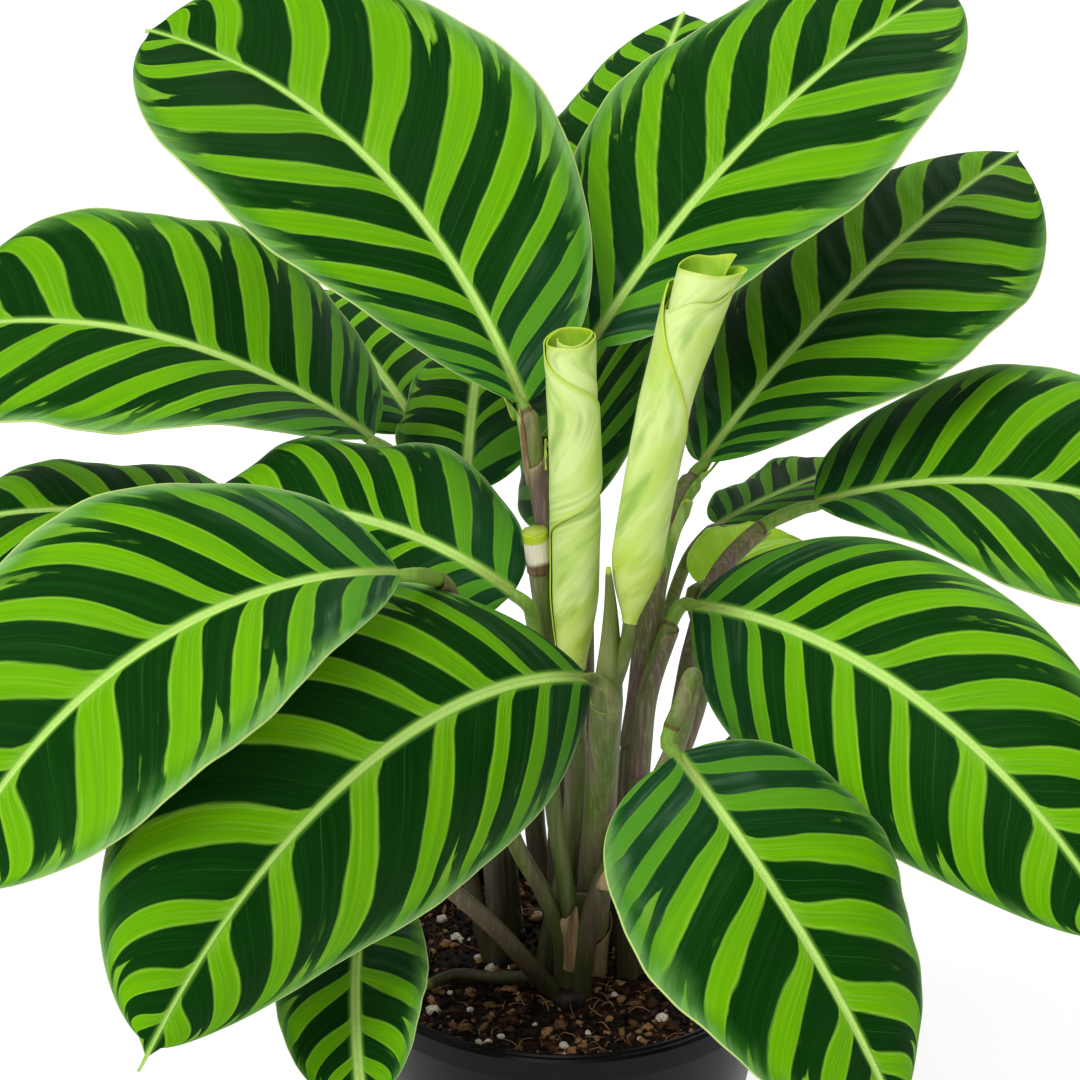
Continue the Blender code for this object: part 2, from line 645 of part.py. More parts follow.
def make_soil():
    """Fills the pot, and has a plain round hole for the foot of each shoot."""
    low = POT_FLOOR + GAP
    slope = (SHOULDER_RADIUS - BASE_RADIUS) / (RIM_TOP - RIM_DEPTH - POT_FLOOR)
    inner_low = BASE_RADIUS - POT_WALL - GAP
    edge_radius = inner_low + slope * (SOIL_EDGE - low)
    rings = [edge_radius * (1 - k / SOIL_RINGS) for k in range(1, SOIL_RINGS + 1)]
    profile = [(radius, SOIL_EDGE) for radius in reversed(rings)]
    profile += [(edge_radius, SOIL_EDGE), (inner_low, low), (0, low)]
    material = make_material("soil", (0.04, 0.025, 0.015), 0.95)
    soil = make_turned("soil", profile, SOIL_STEPS, material)
    mesh = evaluated_mesh(soil)
    soil.modifiers.clear()
    for vertex in mesh.vertices:
        x, y, z = (value / MM for value in vertex.co)
        if z > FOOT_BOTTOM and math.hypot(x, y) < edge_radius - WELD:
            vertex.co.z = soil_height(x, y, edge_radius) * MM
    soil.data = mesh
    for shoot in SHOOTS:
        make_cylinder("hole_" + shoot.name, shoot.foot, shoot.foot_radius + GAP,
                      FOOT_BOTTOM - GAP, FOOT_TOP + CUT_PAST, FOOT_SIDES, holes)
    cut = soil.modifiers.new("holes", "BOOLEAN")
    cut.operation = "DIFFERENCE"
    cut.operand_type = "COLLECTION"
    cut.collection = holes
    mesh.shade_flat()


def new_collection(name, hidden=False):
    folder = bpy.data.collections.new(name)
    bpy.context.scene.collection.children.link(folder)
    folder.hide_render = hidden
    return folder


for thing in list(bpy.data.objects):
    bpy.data.objects.remove(thing)
parts = new_collection("potted_zebra_calathea")
drains = new_collection("drain_cutters", hidden=True)
holes = new_collection("soil_cutters", hidden=True)

make_pot()
make_soil()
for shoot in SHOOTS:
    make_shoot(shoot)
for blade in BLADES:
    make_blade(blade)
for roll in ROLLS:
    make_roll(roll)
for cutter in list(drains.objects) + list(holes.objects):
    cutter.hide_render = True
    cutter.display_type = "WIRE"
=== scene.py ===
"""Zebra calathea in its nursery pot, dressed to look like its photograph.

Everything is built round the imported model, in metres, with +Z up, -Y towards the
camera and the origin under the middle of the pot. The sizes and places below are in
millimetres and degrees, and are turned into metres where a mesh is made.
"""
import math
import random
from dataclasses import dataclass

import bmesh
import bpy
from mathutils import Matrix, Vector, noise


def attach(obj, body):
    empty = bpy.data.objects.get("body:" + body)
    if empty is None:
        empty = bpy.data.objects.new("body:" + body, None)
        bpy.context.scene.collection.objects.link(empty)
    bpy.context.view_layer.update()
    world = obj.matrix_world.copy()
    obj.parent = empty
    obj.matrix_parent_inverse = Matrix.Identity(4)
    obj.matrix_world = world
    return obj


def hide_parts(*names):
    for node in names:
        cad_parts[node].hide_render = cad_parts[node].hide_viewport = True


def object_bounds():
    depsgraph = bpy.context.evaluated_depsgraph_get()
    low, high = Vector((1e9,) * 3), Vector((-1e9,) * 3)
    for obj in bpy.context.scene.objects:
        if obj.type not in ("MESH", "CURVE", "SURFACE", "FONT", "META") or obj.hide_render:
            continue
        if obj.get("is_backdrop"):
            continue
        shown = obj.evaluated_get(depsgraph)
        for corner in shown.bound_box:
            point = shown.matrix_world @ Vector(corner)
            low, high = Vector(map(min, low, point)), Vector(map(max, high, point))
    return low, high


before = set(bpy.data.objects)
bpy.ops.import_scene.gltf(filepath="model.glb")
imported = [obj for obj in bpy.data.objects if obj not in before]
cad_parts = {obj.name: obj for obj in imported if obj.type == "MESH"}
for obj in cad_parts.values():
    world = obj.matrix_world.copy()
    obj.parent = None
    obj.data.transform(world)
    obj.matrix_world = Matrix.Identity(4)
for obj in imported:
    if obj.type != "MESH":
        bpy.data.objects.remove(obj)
cad_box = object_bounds()


# Nursery pot. One thin shell of black polypropylene, injection moulded, with a
# rolled rim in two steps, a wall that tapers to a flat floor, and six drain holes.
MM = 0.001
RIM_RADIUS = 85.0
RIM_TOP = 132.0
RIM_DEPTH = 11.0
POT_WALL = 1.8
POT_FLOOR = 3.0
BASE_RADIUS = 60.0
SHOULDER_RADIUS = 81.0
LIP_WIDTH = 4.6
LIP_GROOVE = 0.7
STEP_DROP = 5.5
STEP_IN = 1.8
FOOT_RECESS = 1.2
POT_SIDES = 144
POT_ROUND = 0.55
DRAIN_RADIUS = 5.0
DRAIN_CIRCLE = 40.0
DRAIN_COUNT = 6
DRAIN_SIDES = 28
MERGE_GAP = 0.002           # points this close together are one


def tone(red, green, blue):
    """A colour from its numbers out of 255, as a screen shows them."""
    shares = [value / 255 for value in (red, green, blue)]
    return tuple(share / 12.92 if share <= 0.04045 else ((share + 0.055) / 1.055) ** 2.4
                 for share in shares) + (1.0,)


class Number:
    """A value that a material's nodes work out, used like a plain number."""

    def __init__(self, paint, socket):
        self.paint = paint
        self.socket = socket

    def __add__(self, other):
        return self.paint.sum("ADD", self, other)

    def __sub__(self, other):
        return self.paint.sum("SUBTRACT", self, other)

    def __rsub__(self, other):
        return self.paint.sum("SUBTRACT", other, self)

    def __mul__(self, other):
        return self.paint.sum("MULTIPLY", self, other)

    def __truediv__(self, other):
        return self.paint.sum("DIVIDE", self, other)

    def __abs__(self):
        return self.paint.sum("ABSOLUTE", self)

    def __floor__(self):
        return self.paint.sum("FLOOR", self)

    def __round__(self):
        return self.paint.sum("ROUND", self)

    __radd__ = __add__
    __rmul__ = __mul__

    def edge(self, low, high):
        """0 where the value is low, 1 where it is high, and smooth in between."""
        span = {"Value": self, "From Min": low, "From Max": high}
        return Number(self.paint, self.paint.node("MapRange", span, interpolation_type="SMOOTHSTEP"))


class Paint:
    """A material, and the nodes that work out its colour, gloss and relief."""

    def __init__(self, name, **fixed):
        self.material = bpy.data.materials.new(name)
        self.material.use_nodes = True
        self.tree = self.material.node_tree
        self.shader = self.tree.nodes["Principled BSDF"]
        for socket, value in fixed.items():
            self.shader.inputs[socket.replace("_", " ")].default_value = value

    def feed(self, socket, value):
        value = getattr(value, "socket", value)
        if isinstance(value, bpy.types.NodeSocket):
            self.tree.links.new(value, socket)
        else:
            socket.default_value = value

    def node(self, kind, inputs, output=0, **settings):
        """Adds a node, sets it, wires its inputs and gives one of its outputs."""
        node = self.tree.nodes.new("ShaderNode" + kind)
        for setting, value in settings.items():
            setattr(node, setting, value)
        for key, value in inputs.items():
            self.feed(node.inputs[key], value)
        return node.outputs[output]

    def sum(self, operation, *values):
        return Number(self, self.node("Math", dict(enumerate(values)), operation=operation))

    def grain(self, place, size, detail=2.0, rough=0.5):
        """Noise from 0 to 1 whose lumps are about so many millimetres, or units, wide."""
        values = {"Vector": place, "Scale": 1 / size, "Detail": detail, "Roughness": rough}
        return Number(self, self.node("TexNoise", values))

    def fibre(self, x, y, z, **kind):
        """Noise over three numbers, whose lumps are one unit wide."""
        return self.grain(self.node("CombineXYZ", {0: x, 1: y, 2: z}), 1.0, **kind)

    def chance(self, number):
        """A random value from 0 to 1 for each whole number."""
        return Number(self, self.node("TexWhiteNoise", {"W": number}, noise_dimensions="1D"))

    def place(self):
        """Where a point is on the piece, in millimetres."""
        where = self.node("TexCoord", {}, output="Object")
        return self.node("VectorMath", {0: where, 3: 1 / MM}, operation="SCALE")

    def upright(self, share):
        """The same place with its height shrunk, so that noise over it runs up the piece."""
        squeeze = {0: self.place(), 1: (1.0, 1.0, share)}
        return self.node("VectorMath", squeeze, operation="MULTIPLY")

    def split(self, vector):
        parts = self.node("SeparateXYZ", {0: vector}).node.outputs
        return [Number(self, part) for part in parts]

    def chart(self, name):
        """The two numbers of a UV map of the piece."""
        return self.split(self.node("UVMap", {}, uv_map=name))[:2]

    def mark(self, name):
        """A number that the piece's own attribute holds."""
        return Number(self, self.node("Attribute", {}, output="Fac", attribute_name=name))

    def coats(self, colour, *coats):
        """Lays colours over a first one, each as thickly as its share says."""
        for share, coat in coats:
            colour = self.node("Mix", {0: share, 6: colour, 7: coat}, output=2, data_type="RGBA")
        return colour

    def finish(self, colour, roughness, height, depth):
        """Wires the colour, the roughness and a relief so many millimetres deep."""
        self.feed(self.shader.inputs["Base Color"], colour)
        self.feed(self.shader.inputs["Roughness"], roughness)
        bump = self.node("Bump", {"Height": height, "Distance": depth * MM})
        self.feed(self.shader.inputs["Normal"], bump)
        return self


def show(name, thing):
    """Adds an object to the scene, made of a bmesh, a light or a camera."""
    if isinstance(thing, bmesh.types.BMesh):
        mesh = bpy.data.meshes.new(name)
        thing.to_mesh(mesh)
        thing.free()
        thing = mesh
    shown = bpy.data.objects.new(name, thing)
    bpy.context.scene.collection.objects.link(shown)
    return shown


def put(name, body, paints, slot, *nodes):
    """Makes a piece of a bmesh, with its materials, and ties it to the frame."""
    piece = show(name, body)
    piece.data.shade_smooth()
    for paint in paints:
        piece.data.materials.append(paint.material)
    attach(piece, "root")
    if nodes:
        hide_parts(*nodes)
    return piece


def closed(body):
    """Joins a bmesh's points that lie in the same place, and turns its faces outwards."""
    bmesh.ops.remove_doubles(body, verts=body.verts[:], dist=MERGE_GAP * MM)
    bmesh.ops.recalc_face_normals(body, faces=body.faces[:])
    return body


def turned(profile, steps):
    """A bmesh of a profile of radius and height, spun round the upright axis."""
    body = bmesh.new()
    dots = [body.verts.new((radius * MM, 0, height * MM)) for radius, height in profile]
    lines = [body.edges.new(pair) for pair in zip(dots, dots[1:])]
    bmesh.ops.spin(body, geom=dots + lines, axis=(0, 0, 1), cent=(0, 0, 0), steps=steps,
                   angle=2 * math.pi, use_merge=True)
    return closed(body)


plastic = Paint("black_nursery_plastic", Specular_IOR_Level=0.13)
skin = plastic.grain(plastic.place(), 0.9, detail=3.0)
dust = plastic.grain(plastic.place(), 26.0, detail=4.0)
plastic.finish(plastic.coats(tone(5, 5, 8), (dust.edge(0.5, 0.8) * 0.25, tone(26, 26, 30))),
               0.27 + dust * 0.14, skin, 0.05)

wall_under_rim = RIM_TOP - RIM_DEPTH
lip_inside = RIM_RADIUS - LIP_WIDTH
pot_body = turned([
    (0, POT_FLOOR), (BASE_RADIUS - POT_WALL - 4, POT_FLOOR), (BASE_RADIUS - POT_WALL, POT_FLOOR + 4),
    (SHOULDER_RADIUS - POT_WALL, wall_under_rim), (lip_inside - 0.5, RIM_TOP - 1.0),
    (lip_inside, RIM_TOP), (lip_inside + 1.0, RIM_TOP), (lip_inside + 1.7, RIM_TOP - LIP_GROOVE),
    (RIM_RADIUS - 1.7, RIM_TOP - LIP_GROOVE), (RIM_RADIUS - 0.9, RIM_TOP - 0.3),
    (RIM_RADIUS, RIM_TOP - 1.4), (RIM_RADIUS, RIM_TOP - STEP_DROP),
    (RIM_RADIUS - STEP_IN, RIM_TOP - STEP_DROP - STEP_IN / 2),
    (RIM_RADIUS - STEP_IN, wall_under_rim), (SHOULDER_RADIUS, wall_under_rim - STEP_IN / 2),
    (BASE_RADIUS + 1.2, 8.0), (BASE_RADIUS, 6.6), (BASE_RADIUS, 1.0), (BASE_RADIUS - 1.0, 0),
    (BASE_RADIUS - 5, 0), (BASE_RADIUS - 6, FOOT_RECESS), (0, FOOT_RECESS),
], POT_SIDES)
pot = put("nursery_pot", pot_body, [plastic], "pot", "pot")
drill_body = bmesh.new()
for number in range(DRAIN_COUNT):
    turn = 2 * math.pi * number / DRAIN_COUNT
    made = bmesh.ops.create_cone(drill_body, cap_ends=True, segments=DRAIN_SIDES,
                                 radius1=DRAIN_RADIUS * MM, radius2=DRAIN_RADIUS * MM,
                                 depth=4 * POT_FLOOR * MM)
    bmesh.ops.translate(drill_body, verts=made["verts"], vec=Vector((
        DRAIN_CIRCLE * math.cos(turn), DRAIN_CIRCLE * math.sin(turn), POT_FLOOR / 2)) * MM)
drill = show("drain_drill", drill_body)
holes = pot.modifiers.new("drain_holes", "BOOLEAN")
holes.operation = "DIFFERENCE"
holes.object = drill
drilled = bpy.data.meshes.new_from_object(
    pot.evaluated_get(bpy.context.evaluated_depsgraph_get()))
pot.modifiers.clear()
pot.data = drilled
bpy.data.objects.remove(drill)
rounding = pot.modifiers.new("rounding", "BEVEL")
rounding.width = POT_ROUND * MM
rounding.segments = 2
rounding.limit_method = "ANGLE"
rounding.angle_limit = math.radians(20)
rounding.harden_normals = True


# Potting soil. Damp dark peat that fills the pot to 12 mm under the rim, sinks a
# little towards the crown, and crumbles into lumps of every size on top.
SOIL_EDGE = 120.0
SOIL_CROWN = 116.5
SOIL_LUMP = 1.6
LUMP_SIZE = 13.0
CLOD = 1.1
CLOD_SIZE = 5.0
CRUMBLE = 0.7
CRUMBLE_SIZE = 1.9
SOIL_SIDES = 200
SOIL_RINGS = 56
SOIL_GAP = 0.3

soil_low = POT_FLOOR + SOIL_GAP
wall_slope = (SHOULDER_RADIUS - BASE_RADIUS) / (wall_under_rim - POT_FLOOR)
soil_inner_low = BASE_RADIUS - POT_WALL - SOIL_GAP
soil_radius = soil_inner_low + wall_slope * (SOIL_EDGE - soil_low)


def soil_height(x, y, fine=True):
    """Height of the soil at a place, with or without its smaller lumps."""
    share = min(1.0, math.hypot(x, y) / soil_radius)
    level = SOIL_CROWN + (SOIL_EDGE - SOIL_CROWN) * share ** 2
    level += SOIL_LUMP * noise.noise(Vector((x, y, 0.4 * LUMP_SIZE)) / LUMP_SIZE) * (1 - share ** 4)
    if fine:
        level += CLOD * noise.noise(Vector((x, y, 3.0)) / CLOD_SIZE) * (1 - share ** 12)
        level += CRUMBLE * noise.noise(Vector((x, y, 9.0)) / CRUMBLE_SIZE) * (1 - share ** 12)
    return level


peat = Paint("damp_peat", Specular_IOR_Level=0.15)
clods = peat.grain(peat.place(), 4.0, detail=5.0, rough=0.65)
threads = peat.grain(peat.place(), 0.8, detail=3.0)
ground = peat.coats(tone(9, 6, 4), (clods.edge(0.42, 0.66), tone(46, 28, 17)),
                    (threads.edge(0.6, 0.74) * 0.45, tone(112, 70, 44)))
peat.finish(ground, 0.9 - clods * 0.2, clods + threads * 0.4, 1.4)

bed = [(soil_radius * k / SOIL_RINGS, SOIL_EDGE) for k in range(SOIL_RINGS + 1)]
bed_body = turned(bed + [(soil_inner_low, soil_low), (0, soil_low)], SOIL_SIDES)
for vertex in bed_body.verts:
    x, y = vertex.co.x / MM, vertex.co.y / MM
    if vertex.co.z > soil_low * 2 * MM and math.hypot(x, y) < soil_radius - 0.01:
        vertex.co.z = soil_height(x, y) * MM
put("soil_bed", bed_body, [peat], "soil", "soil")


# Peat crumbs, bark chips and white perlite. Loose grains mixed through the soil,
# so that some of each kind lie pressed into its top, the finest ones most thickly.
CRUMBS = 2500
CHIPS = 280
GRAINS = 46
# Perlite grains that the photograph shows: x, y and radius.
SEEN_GRAINS = [
    (-51.9, -28.2, 3.1), (-29.6, 6.2, 2.4), (-35.0, 14.8, 1.9), (-50.2, 42.2, 2.4),
    (-44.1, 28.4, 2.4), (-33.4, -51.7, 1.6), (-30.2, -51.4, 1.7), (-25.1, -46.6, 1.5),
    (-0.8, -54.6, 1.9), (-0.9, -61.8, 1.9), (-6.2, -63.0, 1.6), (37.9, -33.4, 2.6),
    (19.3, -11.6, 1.7), (-11.9, -34.9, 1.2), (-45.6, -12.4, 1.2), (8.6, -42.3, 1.2),
    (28.5, -49.5, 1.2), (-37.4, -27.5, 1.3),
]
luck = random.Random(6242)


def scatter(body, x, y, size, stretch, rough, level, sink=0.25):
    """Adds one lump that lies on the soil: a ball, stretched, roughened and turned."""
    marks = body.verts.layers.float
    tone_mark = marks.get("tone") or marks.new("tone")
    made = bmesh.ops.create_icosphere(body, subdivisions=level, radius=1.0)["verts"]
    turns = [luck.uniform(0, 2 * math.pi) for axis in range(2)]
    tilt = luck.uniform(-0.4, 0.4)
    shade = luck.random()
    middle = Vector((x, y, soil_height(x, y) + (0.5 - sink) * size * stretch[2]))
    for vertex in made:
        vertex[tone_mark] = shade
        dent = 1 + rough * noise.noise(vertex.co * 1.7 + Vector((turns[0] * 9, turns[1] * 9, x)))
        lump = vertex.co * Vector(stretch) * dent
        lump.z += lump.x * tilt
        vertex.co = (middle + Matrix.Rotation(turns[0], 3, "Z") @ lump * size) * MM


def somewhere(edge=0.0):
    """A random place on the soil, evenly spread."""
    reach = (soil_radius - 2.0 - edge) * math.sqrt(luck.random())
    turn = luck.uniform(0, 2 * math.pi)
    return reach * math.cos(turn), reach * math.sin(turn)


crumb_body = bmesh.new()
for number in range(CRUMBS):
    size = 0.7 + 1.9 * luck.random() ** 2.2
    stretch = (1.0, luck.uniform(0.55, 1.0), luck.uniform(0.5, 0.9))
    scatter(crumb_body, *somewhere(size), size, stretch, 0.9, 1)
crumb = Paint("peat_crumbs", Specular_IOR_Level=0.15)
shade = crumb.mark("tone")
fleck = crumb.grain(crumb.place(), 0.9, detail=3.0, rough=0.6)
ground = crumb.coats(tone(10, 6, 4), (shade.edge(0.3, 0.9), tone(74, 46, 27)),
                     (shade.edge(0.86, 0.96) * 0.85, tone(160, 122, 82)),
                     (fleck.edge(0.55, 0.8) * 0.35, tone(100, 66, 44)))
crumb.finish(ground, 0.85 - fleck * 0.2, fleck, 0.5)
put("peat_crumbs", crumb_body, [crumb], "soil")

chip_body = bmesh.new()
for number in range(CHIPS):
    size = 0.9 + 2.6 * luck.random() ** 2.4
    stretch = (luck.uniform(0.35, 0.9), 1.0, luck.uniform(0.25, 0.6))
    scatter(chip_body, *somewhere(size), size, stretch, 1.0, 2, sink=0.0)
bark = Paint("bark_chips", Specular_IOR_Level=0.2)
shade = bark.mark("tone")
fibre = bark.grain(bark.place(), 0.7, detail=4.0, rough=0.6)
ground = bark.coats(tone(58, 34, 19), (shade.edge(0.3, 1.0), tone(176, 130, 84)),
                    (fibre.edge(0.42, 0.7) * 0.7, tone(54, 36, 24)))
bark.finish(ground, 0.8, fibre, 0.5)
put("bark_chips", chip_body, [bark], "soil")

grain_body = bmesh.new()
for x, y, size in SEEN_GRAINS:
    scatter(grain_body, x, y, size, (1.0, 0.92, 0.88), 0.34, 3, sink=0.3)
for number in range(GRAINS):
    size = 0.8 + 1.5 * luck.random() ** 2
    x, y = somewhere(size)
    if y > -20:
        scatter(grain_body, x, y, size, (1.0, 0.85, 0.8), 0.6, 2, sink=0.3)
perlite = Paint("perlite")
pits = perlite.grain(perlite.place(), 0.9, detail=3.0, rough=0.6)
cast = perlite.grain(perlite.place(), 3.0)
ground = perlite.coats(tone(232, 222, 206), (pits.edge(0.5, 0.68), tone(128, 100, 76)),
                       (cast.edge(0.45, 0.75) * 0.5, tone(170, 138, 104)))
perlite.finish(ground, 0.8, pits, -0.5)
put("perlite_grains", grain_body, [perlite], "soil")


# Coir threads. Tan husk fibres in the potting mix, as thin as stout sewing thread,
# that lie over the soil in loose arcs and dip into it at both ends.
THREADS = 110
THREAD_ROWS = 9
THREAD_SIDES = 5


def sheet(body, across, up):
    """Adds a grid, so many faces across and up, and gives each point's column and row."""
    made = bmesh.ops.create_grid(body, x_segments=across, y_segments=up, size=1.0)["verts"]
    return {vertex: (round((vertex.co.x + 1) / 2 * across), round((vertex.co.y + 1) / 2 * up))
            for vertex in made}


def loft(body, rings):
    """Adds a tube whose rings are lists of points, and gives each point's side and ring."""
    sides = len(rings[0])
    spots = sheet(body, sides, len(rings) - 1)
    for vertex, (side, row) in spots.items():
        vertex.co = rings[row][side % sides] * MM
    return spots


def ring_round(points, radii, sides):
    """Rings round a line of points, not turning as it bends, and drawn together at its ends."""
    rings = []
    across = None
    for index, point in enumerate(points):
        before, after = points[max(index - 1, 0)], points[min(index + 1, len(points) - 1)]
        forward = (after - before).normalized()
        if across is None:
            across = forward.cross(Vector((0.0, 1.0, 0.35))).normalized()
        across = (across - forward * across.dot(forward)).normalized()
        beside = forward.cross(across)
        rings.append([point + (across * math.cos(turn) + beside * math.sin(turn)) * radii[index]
                      for turn in (2 * math.pi * side / sides for side in range(sides))])
    return [[points[0]] * sides] + rings + [[points[-1]] * sides]


thread_body = bmesh.new()
for number in range(THREADS):
    x, y = somewhere(6.0)
    heading = luck.uniform(0, 2 * math.pi)
    bend = luck.uniform(-1.6, 1.6)
    length = luck.uniform(5.0, 17.0)
    lift = luck.uniform(0.6, 2.2)
    line = []
    for row in range(THREAD_ROWS + 1):
        share = row / THREAD_ROWS
        line.append(Vector((x, y, soil_height(x, y) - 0.6 + (lift + 0.8) * math.sin(math.pi * share))))
        x += math.cos(heading + bend * share) * length / THREAD_ROWS
        y += math.sin(heading + bend * share) * length / THREAD_ROWS
    if max(point.xy.length for point in line) < soil_radius - 1:
        thick = luck.uniform(0.12, 0.26)
        loft(thread_body, ring_round(line, [thick] * (THREAD_ROWS + 1), THREAD_SIDES))
coir = Paint("coir")
streak = coir.grain(coir.place(), 1.6)
coir.finish(coir.coats(tone(92, 62, 38), (streak, tone(178, 136, 92))), 0.75, streak, 0.1)
put("coir_threads", closed(thread_body), [coir], "soil")


# Leaf blades. Thin living sheets on a stout pale midrib, folded up a little along it and
# drooping at the edge. Lime bands follow the side veins and leave dark green between
# them, and the underside is grey green, flushed with purple.
@dataclass
class Blade:
    """An open leaf: where it starts, where it heads, how it bends and how it is banded."""
    name: str
    base: tuple
    heading: float          # from above, 0 along +X, 90 along +Y
    rise: float             # above level, at the base
    roll: float             # plus lifts the left half
    length: float
    width: float
    arch: float             # how far the rise has dropped at the tip
    sweep: float = 0.0      # how far the heading has turned at the tip
    fold: float = 15.0      # how far each half stands up at the midrib
    droop: float = 40.0     # how far each half has bent back at the edge
    twist: float = 0.0      # how far the roll has changed at the tip
    left_power: float = 0.5     # the left half's fullness towards the base
    right_power: float = 0.5
    wave: float = 2.5
    phase: float = 0.0
    tail: float = 4.0       # length of the drip tip
    # Shares of the midrib's length at which the lime bands of each half leave it.
    left_bands: tuple = (0.07, 0.15, 0.25, 0.37, 0.50, 0.63, 0.77, 0.90)
    right_bands: tuple = (0.09, 0.17, 0.27, 0.39, 0.52, 0.66, 0.79, 0.91)
    slant: float = 0.0      # how much further on the left half's bands end at the edge
    rows: int = 70
    columns: int = 22       # on each half, past the midrib's own


